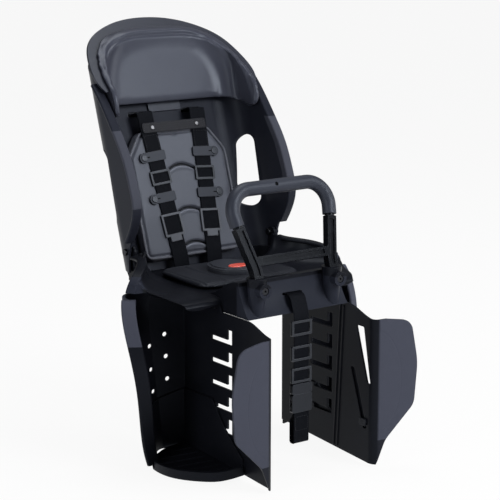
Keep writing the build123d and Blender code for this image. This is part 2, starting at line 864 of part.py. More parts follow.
# Plane of the hood's front edge above its tips.
head_front = Plane(
    origin=back_face.from_local_coords((0, head_tip_height, head_tip_forward)),
    x_dir=(1, 0, 0),
    z_dir=back_face.from_local_coords((0, head_rake, 1)) - back_face.from_local_coords((0, 0, 0)),
)


def inset_arch(points, inset):
    """Arch points drawn in towards the middle of the headrest."""
    drawn = []
    for x, up in points:
        reach = hypot(x, up - head_middle)
        share = 1 - inset / reach
        drawn.append((x * share, head_middle + (up - head_middle) * share))
    return drawn


def head_blank(edge, rear, round_r):
    """Solid under an arch, from a depth in front of the back wall and rounded at the rear."""
    with BuildPart() as blank:
        with BuildSketch(back_face.offset(rear)):
            with BuildLine():
                arch(edge, 150)
            make_face()
        extrude(amount=160)
        fillet(blank.faces().sort_by(out_axis)[0].edges(), round_r)
    return blank.part


def head_profile(proud):
    """Side elevation of the headrest: front edge, rounded tip and sloping underside."""
    tip = head_tip_forward + proud
    side = FilletPolyline(
        (-head_wall, head_rear_height),
        (tip + 2, head_tip_low),
        (tip, head_tip_height),
        (tip - 160 * head_rake, head_tip_height + 160),
        radius=[head_tip_round, 2 * head_tip_round],
    )
    Polyline(side @ 1, (-40, head_tip_height + 160), (-40, head_rear_height), side @ 0)


pad_inset = head_wall + fit_gap
hood_outside = head_blank(head_edge, head_gap, head_round)
hood_inside = head_blank(inset_arch(head_edge, head_wall), head_gap + head_wall, head_round - head_wall)
pad_blank = head_blank(inset_arch(head_edge, pad_inset), head_gap + pad_inset, head_round - pad_inset)
pad_hollow = head_blank(cushion_edge, head_gap + pad_inset + head_cushion, head_round)

with BuildPart() as flange_ring:
    with BuildSketch(back_face.offset(-40)):
        with BuildLine():
            arch(flange_edge, flange_edge[-1][1] - 1)
        make_face()
    extrude(amount=200)
    split(bisect_by=head_front, keep=Keep.BOTTOM)
    split(bisect_by=head_front.offset(-flange_thick), keep=Keep.TOP)

with BuildPart() as headrest_shell:
    add(hood_outside)
    with BuildSketch(back_side):
        with BuildLine():
            head_profile(0)
        make_face()
    extrude(amount=200, both=True, mode=Mode.INTERSECT)
    add(flange_ring.part)
    add(hood_inside, mode=Mode.SUBTRACT)
    # Tongue that shows under the pad.
    with BuildSketch(back_face.offset(head_gap)):
        with Locations((0, head_tab_low)):
            RectangleRounded(
                2 * head_tab_half,
                head_rear_height - head_tab_low + 12,
                2,
                align=(Align.CENTER, Align.MIN),
            )
    extrude(amount=head_wall)
    with BuildSketch(back_face):
        with Locations((0, track_low + slider_height / 2)):
            with GridLocations(0, slider_screw_pitch, 1, 2):
                Circle(slider_hole_r)
    extrude(amount=head_gap + head_wall + fit_gap, mode=Mode.SUBTRACT)

# Bead of the pad, which overlaps the edge of the hood.
with BuildPart() as pad_bead:
    with BuildSketch(back_face.offset(head_gap)):
        with BuildLine():
            arch(bead_edge, 150)
        make_face()
    extrude(amount=160)
    with BuildSketch(back_side):
        with BuildLine():
            head_profile(head_pad_proud)
        make_face()
        with BuildLine():
            head_profile(bead_gap)
        make_face(mode=Mode.SUBTRACT)
    extrude(amount=200, both=True, mode=Mode.INTERSECT)

with BuildPart() as headrest_pad:
    add(pad_blank)
    with BuildSketch(back_side):
        with BuildLine():
            head_profile(head_pad_proud)
        make_face()
    extrude(amount=200, both=True, mode=Mode.INTERSECT)
    add(pad_bead.part)
    add(pad_hollow, mode=Mode.SUBTRACT)

# Slider behind the back wall; its neck runs in the track and its screws hold the hood.
with BuildPart() as headrest_slider:
    with BuildSketch(back_face.offset(head_gap)):
        with Locations((0, track_low)):
            RectangleRounded(
                2 * (track_half - fit_gap), slider_height, 3, align=(Align.CENTER, Align.MIN)
            )
    extrude(amount=-head_gap - wall - fit_gap)
    with BuildSketch(back_face.offset(-wall - fit_gap)):
        with Locations((0, track_low + slider_height / 2)):
            RectangleRounded(slider_plate_width, slider_height + 14, 6)
    extrude(amount=-slider_plate_thick)
    with BuildSketch(back_face.offset(2 * wall)):
        with Locations((0, track_low + slider_height / 2)):
            with GridLocations(0, slider_screw_pitch, 1, 2):
                Circle(slider_hole_r)
    extrude(amount=-40, mode=Mode.SUBTRACT)

with BuildPart() as headrest_screws:
    for step in (-0.5, 0.5):
        up = track_low + slider_height / 2 + step * slider_screw_pitch
        with BuildSketch(back_face.offset(head_gap + head_wall)):
            with Locations((0, up)):
                Circle(slider_screw_r)
        extrude(amount=-head_gap - head_wall - wall - fit_gap - slider_plate_thick - 1)
        with BuildSketch(back_face.offset(-wall - fit_gap - slider_plate_thick)):
            with Locations((0, up)):
                Circle(2 * slider_screw_r)
        extrude(amount=-2.6)

# Pads
with BuildPart() as back_pad:
    with BuildSketch(back_face.offset(fit_gap)):
        with BuildLine():
            pad_line = Polyline(
                (0, back_pad_low), (back_pad_half, back_pad_low), (back_pad_half, back_pad_shoulder),
                (back_pad_top_half, back_pad_high), (0, back_pad_high),
            )
            mirror(pad_line, about=Plane.YZ)
        pad_face = make_face()
        fillet(pad_face.vertices().filter_by(lambda v: abs(v.X) > 1), 24)
    extrude(amount=back_pad_thick)
    fillet(back_pad.faces().sort_by(out_axis)[-1].edges(), back_pad_round)
    # Curved grooves across the middle column.
    with BuildSketch(back_face.offset(fit_gap + back_pad_thick)):
        for up in pad_groove_heights:
            with BuildLine():
                ThreePointArc((-pad_groove_half, up), (0, up + 11), (pad_groove_half, up))
            trace(line_width=pad_groove_width)
    extrude(amount=-pad_groove_depth, mode=Mode.SUBTRACT)

with BuildPart() as seat_pad:
    with BuildSketch(Plane.XY.offset(seat_pad_low_z)) as seat_pad_plan:
        with Locations((0, seat_pad_rear_y)):
            Rectangle(
                2 * seat_pad_half,
                seat_pad_rear_y - seat_pad_front_y,
                align=(Align.CENTER, Align.MAX),
            )
        fillet(seat_pad_plan.vertices(), 30)
    extrude(amount=seat_pad_thick)
    fillet(seat_pad.faces().sort_by(Axis.Z)[-1].edges(), 4)
    with BuildSketch(Plane.XY):
        with Locations((0, crotch_y)):
            SlotOverall(strap_width + 6, 6)
    extrude(amount=60, mode=Mode.SUBTRACT)

# Harness. The shoulder straps draw together towards the lap.
strap_turn = degrees(atan2(strap_top_x - strap_low_x, strap_top - strap_low))


def strap_plane(side, up):
    """Front elevation of one shoulder strap at a height up the back: local y runs along the strap."""
    x = strap_low_x + (strap_top_x - strap_low_x) * (up - strap_low) / (strap_top - strap_low)
    across = sin(radians(strap_turn))
    return Plane(
        origin=back_face.from_local_coords((side * x, up, strap_forward)),
        x_dir=(cos(radians(strap_turn)), -side * across * back_up[1], -side * across * back_up[2]),
        z_dir=back_out,
    )


def webbing_ladder(plane, length):
    """Frame round the webbing at a plane's origin, with one bar behind the webbing."""
    hole = strap_width + 2 * sleeve_gap
    with BuildPart() as ladder:
        with BuildSketch(plane.offset(-sleeve_half)):
            RectangleRounded(strap_width + 2 * ladder_rail, length, 2)
            Rectangle(hole, length - 2 * ladder_rail, mode=Mode.SUBTRACT)
        extrude(amount=2 * sleeve_half)
        with BuildSketch(plane.offset(-sleeve_half)):
            Rectangle(hole, length + 2)
        extrude(amount=sleeve_half + strap_thick / 2 + sleeve_gap, mode=Mode.SUBTRACT)
        with BuildSketch(plane.offset(-sleeve_half)):
            Rectangle(strap_width + ladder_rail, ladder_rail)
        extrude(amount=sleeve_half - strap_thick / 2 - sleeve_gap)
    return ladder.part


def webbing_slot(plane, width, length):
    """Cutter for the webbing's way through whatever stands at a plane's origin."""
    with BuildPart() as slot:
        with BuildSketch(plane.offset(-strap_thick / 2 - sleeve_gap)):
            Rectangle(width + 2 * sleeve_gap, length)
        extrude(amount=strap_thick + 2 * sleeve_gap)
    return slot.part


def shoulder_strap(side):
    """One shoulder strap with its sewn ends, from behind the back to under the floor."""
    front = strap_plane(side, strap_top)
    across = Plane(origin=front.origin, x_dir=front.z_dir, z_dir=-front.x_dir)
    knee = across.to_local_coords(Vector(side * strap_low_x, strap_floor_y, seat_floor_z + 8))
    tail = across.to_local_coords(Vector(side * strap_low_x, strap_floor_y, stop_low_z - 1))
    start = -strap_forward - wall - stop_thick - 2 * fit_gap
    with BuildPart() as strap:
        with BuildSketch(across):
            with BuildLine():
                FilletPolyline(
                    (start - 1, 0),
                    (0, 0),
                    (0, strap_low - strap_top),
                    (knee.X, knee.Y),
                    (tail.X, tail.Y),
                    radius=5,
                )
            trace(line_width=strap_thick)
            with Locations((start, 0)):
                Rectangle(sewn_end, 4 * strap_thick, align=(Align.MAX, Align.CENTER))
        extrude(amount=strap_width / 2, both=True)
        with BuildSketch(Plane.XY.offset(stop_low_z - fit_gap)):
            with Locations((side * strap_low_x, strap_floor_y)):
                Rectangle(strap_width, 4 * strap_thick)
        extrude(amount=-sewn_end)
        with BuildSketch(back_face.offset(strap_forward)):
            with Locations((side * rivet_x, yoke_up)):
                Circle(rivet_r + fit_gap / 2)
        extrude(amount=strap_thick, both=True, mode=Mode.SUBTRACT)
    return strap.part


with BuildPart() as shoulder_strap_left:
    add(shoulder_strap(1))

with BuildPart() as shoulder_strap_right:
    add(shoulder_strap(-1))

# Stops that hold the sewn ends behind the back and under the floor.
with BuildPart() as harness_stops:
    for side in (1, -1):
        with BuildSketch(back_face.offset(-wall - fit_gap)):
            with Locations((side * strap_top_x, strap_top)):
                RectangleRounded(strap_width + 18, 18, 4)
                Rectangle(strap_width + 2, strap_thick + 4, mode=Mode.SUBTRACT)
        extrude(amount=-stop_thick)
        with BuildSketch(Plane.XY.offset(stop_low_z)):
            with Locations((side * strap_low_x, strap_floor_y)):
                RectangleRounded(strap_width + 18, 14, 4)
                Rectangle(strap_width + 8, strap_thick + 2, mode=Mode.SUBTRACT)
        extrude(amount=rear_floor_low_z - fit_gap - stop_low_z)

# Yoke across the straps, riveted to both.
with BuildPart() as shoulder_yoke:
    with BuildSketch(back_face.offset(strap_forward + strap_thick / 2 + sleeve_gap)):
        with Locations((0, yoke_up)):
            RectangleRounded(2 * yoke_half, yoke_height, 4)
        with Locations((rivet_x, yoke_up), (-rivet_x, yoke_up)):
            Circle(rivet_r + fit_gap / 2, mode=Mode.SUBTRACT)
    extrude(amount=yoke_thick)

with BuildPart() as yoke_rivets:
    yoke_front = strap_forward + strap_thick / 2 + sleeve_gap + yoke_thick
    with BuildSketch(back_face.offset(strap_forward - strap_thick / 2 - sleeve_gap)):
        with Locations((rivet_x, yoke_up), (-rivet_x, yoke_up)):
            Circle(rivet_r)
    extrude(amount=yoke_front - strap_forward + strap_thick / 2 + sleeve_gap)
    with BuildSketch(back_face.offset(yoke_front)):
        with Locations((rivet_x, yoke_up), (-rivet_x, yoke_up)):
            Circle(rivet_head_r)
    extrude(amount=rivet_head, taper=30)
    with BuildSketch(back_face.offset(strap_forward - strap_thick / 2 - sleeve_gap)):
        with Locations((rivet_x, yoke_up), (-rivet_x, yoke_up)):
            Circle(rivet_head_r)
    extrude(amount=-rivet_back)

# Keepers: flat sleeves with a round snap ear on the outer side.
with BuildPart() as strap_keepers:
    for side in (1, -1):
        for up in keeper_heights:
            keeper_plane = strap_plane(side, up)
            with BuildSketch(keeper_plane.offset(-sleeve_half)):
                RectangleRounded(strap_width + 2 * keeper_rail, keeper_length, 3)
                with Locations((side * keeper_ear_x, 0)):
                    Circle(keeper_ear_r)
            extrude(amount=2 * sleeve_half)
            add(webbing_slot(keeper_plane, strap_width, keeper_length + 8), mode=Mode.SUBTRACT)
            with BuildSketch(keeper_plane.offset(-sleeve_half)):
                with Locations((side * keeper_ear_x, 0)):
                    Circle(snap_r + fit_gap)
            extrude(amount=2 * sleeve_half, mode=Mode.SUBTRACT)

with BuildPart() as keeper_snaps:
    for side in (1, -1):
        for up in keeper_heights:
            keeper_plane = strap_plane(side, up)
            with BuildSketch(keeper_plane.offset(-sleeve_half)):
                with Locations((side * keeper_ear_x, 0)):
                    Circle(snap_r)
            extrude(amount=2 * sleeve_half)
            with BuildSketch(keeper_plane.offset(sleeve_half)):
                with Locations((side * keeper_ear_x, 0)):
                    Circle(snap_r + 2)
            extrude(amount=snap_head, taper=25)

with BuildPart() as strap_adjusters:
    for side in (1, -1):
        add(webbing_ladder(strap_plane(side, adjuster_up), adjuster_length))


def buckle_tongue(side):
    """Square frame on the strap with the tab that enters the crotch buckle."""
    tongue_plane = strap_plane(side, tongue_up)
    with BuildPart() as tongue:
        add(webbing_ladder(tongue_plane, tongue_length))
        with BuildSketch(tongue_plane.offset(strap_thick / 2 + sleeve_gap)):
            with Locations((0, -tongue_length / 2 + 1)):
                Rectangle(tongue_tab_width, tongue_tab + 1, align=(Align.CENTER, Align.MAX))
        extrude(amount=sleeve_half - strap_thick / 2 - sleeve_gap)
    return tongue.part


with BuildPart() as buckle_tongue_left:
    add(buckle_tongue(1))

with BuildPart() as buckle_tongue_right:
    add(buckle_tongue(-1))

# Crotch strap with sewn ends under the floor and inside the buckle.
with BuildPart() as crotch_strap:
    with BuildSketch(Plane.XY.offset(stop_low_z)):
        with Locations((0, crotch_y)):
            Rectangle(strap_width, strap_thick)
    extrude(amount=buckle_z + buckle_floor + fit_gap - stop_low_z)
    with BuildSketch(Plane.XY.offset(seat_floor_z - wall - fit_gap)):
        with Locations((0, crotch_y)):
            Rectangle(strap_width + 10, 4 * strap_thick)
    extrude(amount=-sewn_end)
    with BuildSketch(Plane.XY.offset(buckle_z + buckle_floor + fit_gap)):
        with Locations((0, crotch_y)):
            Rectangle(strap_width, 4 * strap_thick)
    extrude(amount=buckle_sewn)

# Crotch buckle, lying level on the seat pad.
with BuildPart() as buckle_body:
    with BuildSketch(Plane.XY.offset(buckle_z)):
        with Locations((0, buckle_y)):
            Ellipse(buckle_half_x, buckle_half_y)
    extrude(amount=buckle_split)
    with BuildSketch(Plane.XY.offset(buckle_z + buckle_floor)):
        with Locations((0, buckle_y)):
            Ellipse(buckle_half_x - buckle_wall, buckle_half_y - buckle_wall)
    extrude(amount=buckle_split, mode=Mode.SUBTRACT)
    with BuildSketch(Plane.XY.offset(buckle_z)):
        with Locations((0, crotch_y)):
            Rectangle(strap_width + 2, strap_thick + 1)
    extrude(amount=buckle_split, mode=Mode.SUBTRACT)

with BuildPart() as buckle_cover:
    with BuildSketch(Plane.XY.offset(buckle_z + buckle_split)):
        with Locations((0, buckle_y)):
            Ellipse(buckle_half_x, buckle_half_y)
    extrude(amount=buckle_step - buckle_split)
    with BuildSketch(Plane.XY.offset(buckle_z + buckle_step)):
        with Locations((0, buckle_y)):
            Ellipse(buckle_half_x - buckle_ledge, buckle_half_y - buckle_ledge)
    extrude(amount=buckle_top - buckle_step)
    fillet(buckle_cover.faces().sort_by(Axis.Z)[-1].edges(), 1.2)
    with BuildSketch(Plane.XY.offset(buckle_z + buckle_split)):
        with Locations((0, buckle_y)):
            Ellipse(buckle_half_x - buckle_ledge - buckle_wall, buckle_half_y - buckle_ledge - buckle_wall)
    extrude(amount=buckle_top - buckle_roof - buckle_split, mode=Mode.SUBTRACT)
    with BuildSketch(Plane.XY.offset(buckle_z)):
        with Locations((0, buckle_y + button_y)):
            Ellipse(button_x_r + fit_gap, button_y_r + fit_gap)
    extrude(amount=2 * buckle_top, mode=Mode.SUBTRACT)
    # Entries for the two tongues at the rear.
    with BuildSketch(Plane.XY.offset(buckle_z + buckle_split)):
        for side in (1, -1):
            with Locations(Location((side * 19, buckle_y + 0.7 * buckle_half_y), side * -22)):
                Rectangle(tongue_tab_width + 2, 60, align=(Align.CENTER, Align.CENTER))
        with Locations((0, buckle_y + button_y)):
            Rectangle(4 * buckle_half_x, 2 * buckle_half_y, mode=Mode.SUBTRACT)
    extrude(amount=tongue_entry, mode=Mode.SUBTRACT)

with BuildPart() as buckle_button:
    with BuildSketch(Plane.XY.offset(button_flange_z)):
        with Locations((0, buckle_y + button_y)):
            Ellipse(button_x_r + button_flange, button_y_r + button_flange)
    extrude(amount=buckle_z + buckle_top - buckle_roof - fit_gap - button_flange_z)
    with BuildSketch(Plane.XY.offset(button_flange_z)):
        with Locations((0, buckle_y + button_y)):
            Ellipse(button_x_r, button_y_r)
    extrude(amount=buckle_z + buckle_top + button_proud - button_flange_z)
    fillet(buckle_button.faces().sort_by(Axis.Z)[-1].edges(), 1.4)

with BuildPart() as buckle_spring:
    with BuildSketch(Plane.XY.offset(buckle_z + buckle_floor)):
        with Locations((0, buckle_y + button_y)):
            Circle(spring_r)
            Circle(spring_r - spring_wall, mode=Mode.SUBTRACT)
    extrude(amount=button_flange_z - buckle_z - buckle_floor)

# Safety strap: from the apron's slot down to its side-release buckle, and the loop below it.
def safety_plane(z):
    """Front elevation of the hanging run at one height."""
    return Plane(origin=(0, safety_y, z), x_dir=(1, 0, 0), z_dir=(0, -1, 0))


with BuildPart() as safety_strap:
    with BuildSketch(Plane.YZ):
        with BuildLine():
            FilletPolyline(
                (safety_anchor_y, safety_slot_z),
                (safety_anchor_y - 22, safety_slot_z),
                (safety_y, safety_slot_z - 30),
                (safety_y, male_top_z - male_bar),
                radius=8,
            )
        trace(line_width=strap_thick)
        with Locations((safety_anchor_y, safety_slot_z)):
            Rectangle(sewn_end, 6 * strap_thick, align=(Align.MIN, Align.CENTER))
    extrude(amount=safety_half, both=True)

with BuildPart() as safety_loop_strap:
    layer = (strap_thick + fit_gap) / 2
    with BuildSketch(Plane.YZ):
        with BuildLine():
            FilletPolyline(
                (safety_y - layer, female_low_z + female_bar),
                (safety_y - layer, safety_loop_z),
                (safety_y + safety_loop, safety_loop_z),
                (safety_y + safety_loop, female_low_z - 14),
                (safety_y + layer, female_low_z - 4),
                (safety_y + layer, female_low_z + female_bar),
                radius=4,
            )
        trace(line_width=strap_thick)
    extrude(amount=safety_half, both=True)

with BuildPart() as safety_adjusters:
    for z in safety_adjuster_z:
        add(webbing_ladder(safety_plane(z), safety_adjuster_length))

with BuildPart() as safety_buckle_male:
    with BuildSketch(safety_plane(male_top_z).offset(-male_half)):
        with Locations((0, 0)):
            RectangleRounded(2 * release_half, male_height, 3, align=(Align.CENTER, Align.MAX))
    extrude(amount=2 * male_half)
    add(webbing_slot(safety_plane(male_top_z), 2 * safety_half, 2 * male_bar + 1), mode=Mode.SUBTRACT)
    with BuildSketch(safety_plane(male_top_z - male_height).offset(-prong_half)):
        for x in (-prong_x, 0, prong_x):
            with Locations((x, 1)):
                Rectangle(prong_width, prong_length + 1, align=(Align.CENTER, Align.MAX))
    extrude(amount=2 * prong_half)

with BuildPart() as safety_buckle_female:
    with BuildSketch(safety_plane(female_low_z).offset(-male_half)):
        RectangleRounded(
            2 * release_half,
            male_top_z - male_height - fit_gap - female_low_z,
            3,
            align=(Align.CENTER, Align.MIN),
        )
    extrude(amount=2 * male_half)
    with BuildSketch(safety_plane(male_top_z - male_height).offset(-prong_half - fit_gap)):
        Rectangle(
            2 * prong_x + prong_width + 2 * fit_gap,
            2 * (prong_length + fit_gap),
        )
    extrude(amount=2 * (prong_half + fit_gap), mode=Mode.SUBTRACT)
    # Thumb windows for the outer prongs, and the slot for the webbing.
    with BuildSketch(safety_plane(male_top_z - male_height - prong_length / 2 - 4).offset(-prong_half)):
        Rectangle(4 * release_half, 0.5 * prong_length)
        Rectangle(2 * prong_x, 0.5 * prong_length, mode=Mode.SUBTRACT)
    extrude(amount=2 * prong_half, mode=Mode.SUBTRACT)
    with BuildSketch(safety_plane(female_low_z).offset(-layer - strap_thick / 2 - sleeve_gap)):
        Rectangle(2 * (safety_half + sleeve_gap), 2 * female_bar + 1)
    extrude(amount=2 * (layer + sleeve_gap) + strap_thick, mode=Mode.SUBTRACT)

pieces = {
    "back_shell": back_shell,
    "seat_base": seat_base,
    "side_bolts": side_bolts,
    "headrest_shell": headrest_shell,
    "headrest_pad": headrest_pad,
    "headrest_slider": headrest_slider,
    "headrest_screws": headrest_screws,
    "back_pad": back_pad,
    "seat_pad": seat_pad,
    "shoulder_strap_left": shoulder_strap_left,
    "shoulder_strap_right": shoulder_strap_right,
    "harness_stops": harness_stops,
    "shoulder_yoke": shoulder_yoke,
    "yoke_rivets": yoke_rivets,
    "strap_keepers": strap_keepers,
    "keeper_snaps": keeper_snaps,
    "strap_adjusters": strap_adjusters,
    "buckle_tongue_left": buckle_tongue_left,
    "buckle_tongue_right": buckle_tongue_right,
    "crotch_strap": crotch_strap,
    "buckle_body": buckle_body,
    "buckle_cover": buckle_cover,
    "buckle_button": buckle_button,
    "buckle_spring": buckle_spring,
    "grip_frame": grip_frame,
    "grip_cover": grip_cover,
    "grip_screws": grip_screws,
    "leg_guard_left": leg_guard_left,
    "leg_guard_right": leg_guard_right,
    "guard_screws": guard_screws,
    "footplate_left": footplate_left,
    "footplate_right": footplate_right,
    "foot_strap_left": foot_strap_left,
    "foot_strap_right": foot_strap_right,
    "safety_strap": safety_strap,
    "safety_loop_strap": safety_loop_strap,
    "safety_adjusters": safety_adjusters,
    "safety_buckle_male": safety_buckle_male,
    "safety_buckle_female": safety_buckle_female,
}
for name, piece in pieces.items():
    piece.part.label = name
    export_step(piece.part, f"parts/{name}.step")
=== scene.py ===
"""Child bike seat: finishes, pads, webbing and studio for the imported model."""
import math

import bmesh
import bpy
from mathutils import Matrix, Vector


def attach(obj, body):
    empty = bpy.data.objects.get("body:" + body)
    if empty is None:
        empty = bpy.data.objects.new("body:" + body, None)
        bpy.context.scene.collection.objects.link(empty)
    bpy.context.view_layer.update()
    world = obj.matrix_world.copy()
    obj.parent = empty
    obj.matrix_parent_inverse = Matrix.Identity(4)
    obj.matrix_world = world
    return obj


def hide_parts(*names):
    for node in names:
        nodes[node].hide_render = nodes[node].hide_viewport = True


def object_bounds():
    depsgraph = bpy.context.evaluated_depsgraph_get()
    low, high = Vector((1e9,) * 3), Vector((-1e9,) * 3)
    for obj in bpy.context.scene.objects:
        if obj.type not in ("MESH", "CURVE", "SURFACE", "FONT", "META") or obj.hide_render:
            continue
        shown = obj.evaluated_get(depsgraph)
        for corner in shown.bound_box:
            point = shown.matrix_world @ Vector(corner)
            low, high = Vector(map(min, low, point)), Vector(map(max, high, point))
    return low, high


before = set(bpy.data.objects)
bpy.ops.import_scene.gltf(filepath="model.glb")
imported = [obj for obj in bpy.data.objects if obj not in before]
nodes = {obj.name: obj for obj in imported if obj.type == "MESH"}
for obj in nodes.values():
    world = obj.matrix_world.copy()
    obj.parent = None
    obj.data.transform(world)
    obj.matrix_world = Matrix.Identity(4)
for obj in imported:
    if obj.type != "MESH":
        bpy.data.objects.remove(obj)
cad_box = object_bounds()
scene = bpy.context.scene
scene.view_settings.view_transform = "Standard"
mm = 0.001

# The backrest leans; its own axes run up the back and out of it.
lean = math.radians(18.5)
back_up = Vector((0, math.sin(lean), math.cos(lean)))
back_out = Vector((0, -math.cos(lean), math.sin(lean)))
back_foot = Vector((0, 128, 30)) * mm
pad_heights = (158, 81, 21)


def on_back(x, up, out):
    """Point given in millimetres across, up and out of the backrest."""
    return back_foot + Vector((x, 0, 0)) * mm + back_up * up * mm + back_out * out * mm


def back_place(point):
    """Millimetres across, up and out of the backrest for a point."""
    away = point - back_foot
    return away.x / mm, away.dot(back_up) / mm, away.dot(back_out) / mm


# ---------------------------------------------------------------- shader work

class Wire:
    """One shader value; arithmetic on it adds Math nodes."""

    def __init__(self, finish, socket):
        self.finish = finish
        self.socket = socket

    def math(self, kind, left, right=0.0, clamp=False):
        settings = {"operation": kind, "use_clamp": clamp}
        return self.finish.node("ShaderNodeMath", settings, {0: left, 1: right})["Value"]

    def __add__(self, other):
        return self.math("ADD", self, other)

    def __radd__(self, other):
        return self.math("ADD", other, self)

    def __sub__(self, other):
        return self.math("SUBTRACT", self, other)

    def __rsub__(self, other):
        return self.math("SUBTRACT", other, self)

    def __mul__(self, other):
        return self.math("MULTIPLY", self, other)

    def __rmul__(self, other):
        return self.math("MULTIPLY", other, self)

    def __truediv__(self, other):
        return self.math("DIVIDE", self, other)

    def __rtruediv__(self, other):
        return self.math("DIVIDE", other, self)

    def __pow__(self, other):
        return self.math("POWER", self, other)

    def __gt__(self, other):
        return self.math("GREATER_THAN", self, other)

    def __lt__(self, other):
        return self.math("LESS_THAN", self, other)

    def __abs__(self):
        return self.math("ABSOLUTE", self)

    def sine(self):
        return self.math("SINE", self)

    def clamp(self):
        return self.math("ADD", self, 0.0, True)

    def above(self, level, soft):
        """Soft step: 0 below a level and 1 above it."""
        return self.math("ADD", (self - level) / soft, 0.5, True)


class Finish:
    """A material; every node of it comes from one method."""

    def __init__(self, name, shelf=bpy.data.materials):
        self.material = shelf.new(name)
        self.material.use_nodes = True
        self.tree = self.material.node_tree
        self.tree.nodes.clear()

    def node(self, kind, settings=None, sockets=None):
        made = self.tree.nodes.new(kind)
        for key, value in (settings or {}).items():
            if key == "stops":
                while len(made.color_ramp.elements) < len(value):
                    made.color_ramp.elements.new(0.5)
                for element, (place, tone) in zip(made.color_ramp.elements, value):
                    element.position = place
                    element.color = (tone, tone, tone, 1)
            else:
                setattr(made, key, value)
        for key, value in (sockets or {}).items():
            named = [s for s in made.inputs if s.identifier == key]
            target = named[0] if named else made.inputs[key]
            if isinstance(value, Wire):
                self.tree.links.new(value.socket, target)
            else:
                target.default_value = value
        return {s.name: Wire(self, s) for s in made.outputs if s.enabled}

    def place(self):
        """Object coordinates, whole and split."""
        spot = self.node("ShaderNodeTexCoord")["Object"]
        parts = self.node("ShaderNodeSeparateXYZ", None, {"Vector": spot})
        return spot, parts["X"], parts["Y"], parts["Z"]

    def noise(self, spot, size, detail=2.0, rough=0.5):
        sockets = {"Vector": spot, "Scale": 1 / size, "Detail": detail, "Roughness": rough}
        return self.node("ShaderNodeTexNoise", None, sockets)["Fac"]

    def mix(self, share, first, second):
        sockets = {"Factor_Float": share, "A_Color": first, "B_Color": second}
        return self.node("ShaderNodeMix", {"data_type": "RGBA"}, sockets)["Result"]

    def edge(self, radius):
        """Softened normal of the edges and a mask that is 1 along them."""
        soft = self.node("ShaderNodeBevel", {"samples": 12}, {"Radius": radius})["Normal"]
        true = self.node("ShaderNodeNewGeometry")["Normal"]
        dot = self.node("ShaderNodeVectorMath", {"operation": "DOT_PRODUCT"}, {0: soft, 1: true})["Value"]
        return soft, ((1 - dot) * 3.0).clamp()

    def bump(self, height, depth, strength=1.0, normal=None):
        sockets = {"Height": height, "Distance": depth, "Strength": strength}
        if normal:
            sockets["Normal"] = normal
        return self.node("ShaderNodeBump", None, sockets)["Normal"]

    def surface(self, **sockets):
        named = {key.replace("_", " "): value for key, value in sockets.items()}
        shader = self.node("ShaderNodeBsdfPrincipled", None, named)["BSDF"]
        self.node("ShaderNodeOutputMaterial", None, {"Surface": shader})
        return self.material


def tone(red, green, blue):
    """Colour with full alpha."""
    return (red, green, blue, 1)


cool_gloss = tone(0.80, 0.88, 1.0)


def moulded(
    name, dark, light, rough, grain=0.0007, depth=0.00006, painted_edge_tone=None, spec=0.4, zone=None,
    crisp=0.35, edge_size=0.0011,
):
    """Moulded plastic: eroded grain, faint flow marks, handling shine, and edges lightened partly as rubbed
    wear and partly as a painted highlight.

    zone is a function giving a mask of a matte panel, that panel's tone and roughness, and a mask
    of its scored lines or None. crisp is the even share of the edges' painted highlight and wear."""
    finish = Finish(name)
    spot, x, y, z = finish.place()
    fine = finish.noise(spot, grain, 3.0, 0.6)
    cloud = finish.noise(spot, 0.07, 3.0, 0.55)
    rub = finish.noise(spot, 0.012, 4.0, 0.7)
    soft, edge = finish.edge(edge_size)
    colour = finish.mix(cloud, tone(*dark), tone(*light))
    shine = rough + (cloud - 0.5) * 0.14 + (rub - 0.5) * 0.10
    height = fine
    if zone:
        mask, panel, panel_rough, lines = zone(finish, x, y, z)
        worn = finish.mix((rub * 0.5).clamp(), tone(*panel), tone(*[1.25 * c for c in panel]))
        colour = finish.mix(mask, colour, worn)
        shine = shine + mask * (panel_rough - rough)
        height = height + mask * 3.0
        if lines is not None:
            height = height - lines * 5.0
    # Edges lightened: partly rubbed wear, partly a painted highlight along the edges.
    edge_wear_and_highlight = edge * (crisp + rub * (0.85 - crisp))
    colour = finish.mix(edge_wear_and_highlight.clamp(), colour, tone(*(painted_edge_tone or [2.2 * c + 0.01 for c in light])))
    shine = shine - edge * 0.08
    normal = finish.bump(height, depth, 0.6, soft)
    return finish.surface(
        Base_Color=colour, Roughness=shine, Normal=normal,
        Specular_IOR_Level=spec, Specular_Tint=cool_gloss,
    )


def wing_panel(finish, x, y, z):
    """Matte band along the wing's rim, between its two steps."""
    run = (z - 0.147) / 0.127
    rim = finish.node(
        "ShaderNodeValToRGB",
        {"stops": [(0.0, 0.052), (0.276, 0.060), (0.669, 0.083), (1.0, 0.114)]},
        {"Fac": run},
    )["Color"]
    near = (rim * 1.0 + 0.009 - y).above(0.0, 0.001)
    low, top, width = 0.151, 0.274, 0.0012
    band = (z > low) * (z < top)
    step = ((abs(z - low) < width) + (abs(z - top) < width)).clamp() * near
    return near * band, (0.050, 0.053, 0.070), 0.62, step


def flap_panel(finish, x, y, z):
    """Matte panels of a leg guard: its flap, and the band on its rear rim."""
    wide = abs(x)
    face, foot = -0.2495, -0.221
    flap = (face - y).above(0.0, 0.001) * (z > foot)
    rim = (wide > 0.206) * (z > -0.053) * (y > -0.060)
    low = (face - y).above(0.0, 0.001) * (z < foot)
    reach = ((wide - 0.104) / 0.052) ** 2.0 + ((z + 0.122) / 0.088) ** 2.0
    arc = (abs(reach - 1.0) < 0.035) * flap
    return (flap + rim + low * 0.15).clamp(), (0.052, 0.056, 0.077), 0.60, arc


def apron_panel(finish, x, y, z):
    """Matte apron and the matte end of the bowl's rolled rim."""
    wide = abs(x)
    apron = (-0.148 - y).above(0.0, 0.004) * (z < 0.05) * 0.75
    rim = (wide - 0.190).above(0.0, 0.001) * (z < 0.052) * (y > -0.03)
    return (apron + rim).clamp(), (0.020, 0.0225, 0.034), 0.55, None


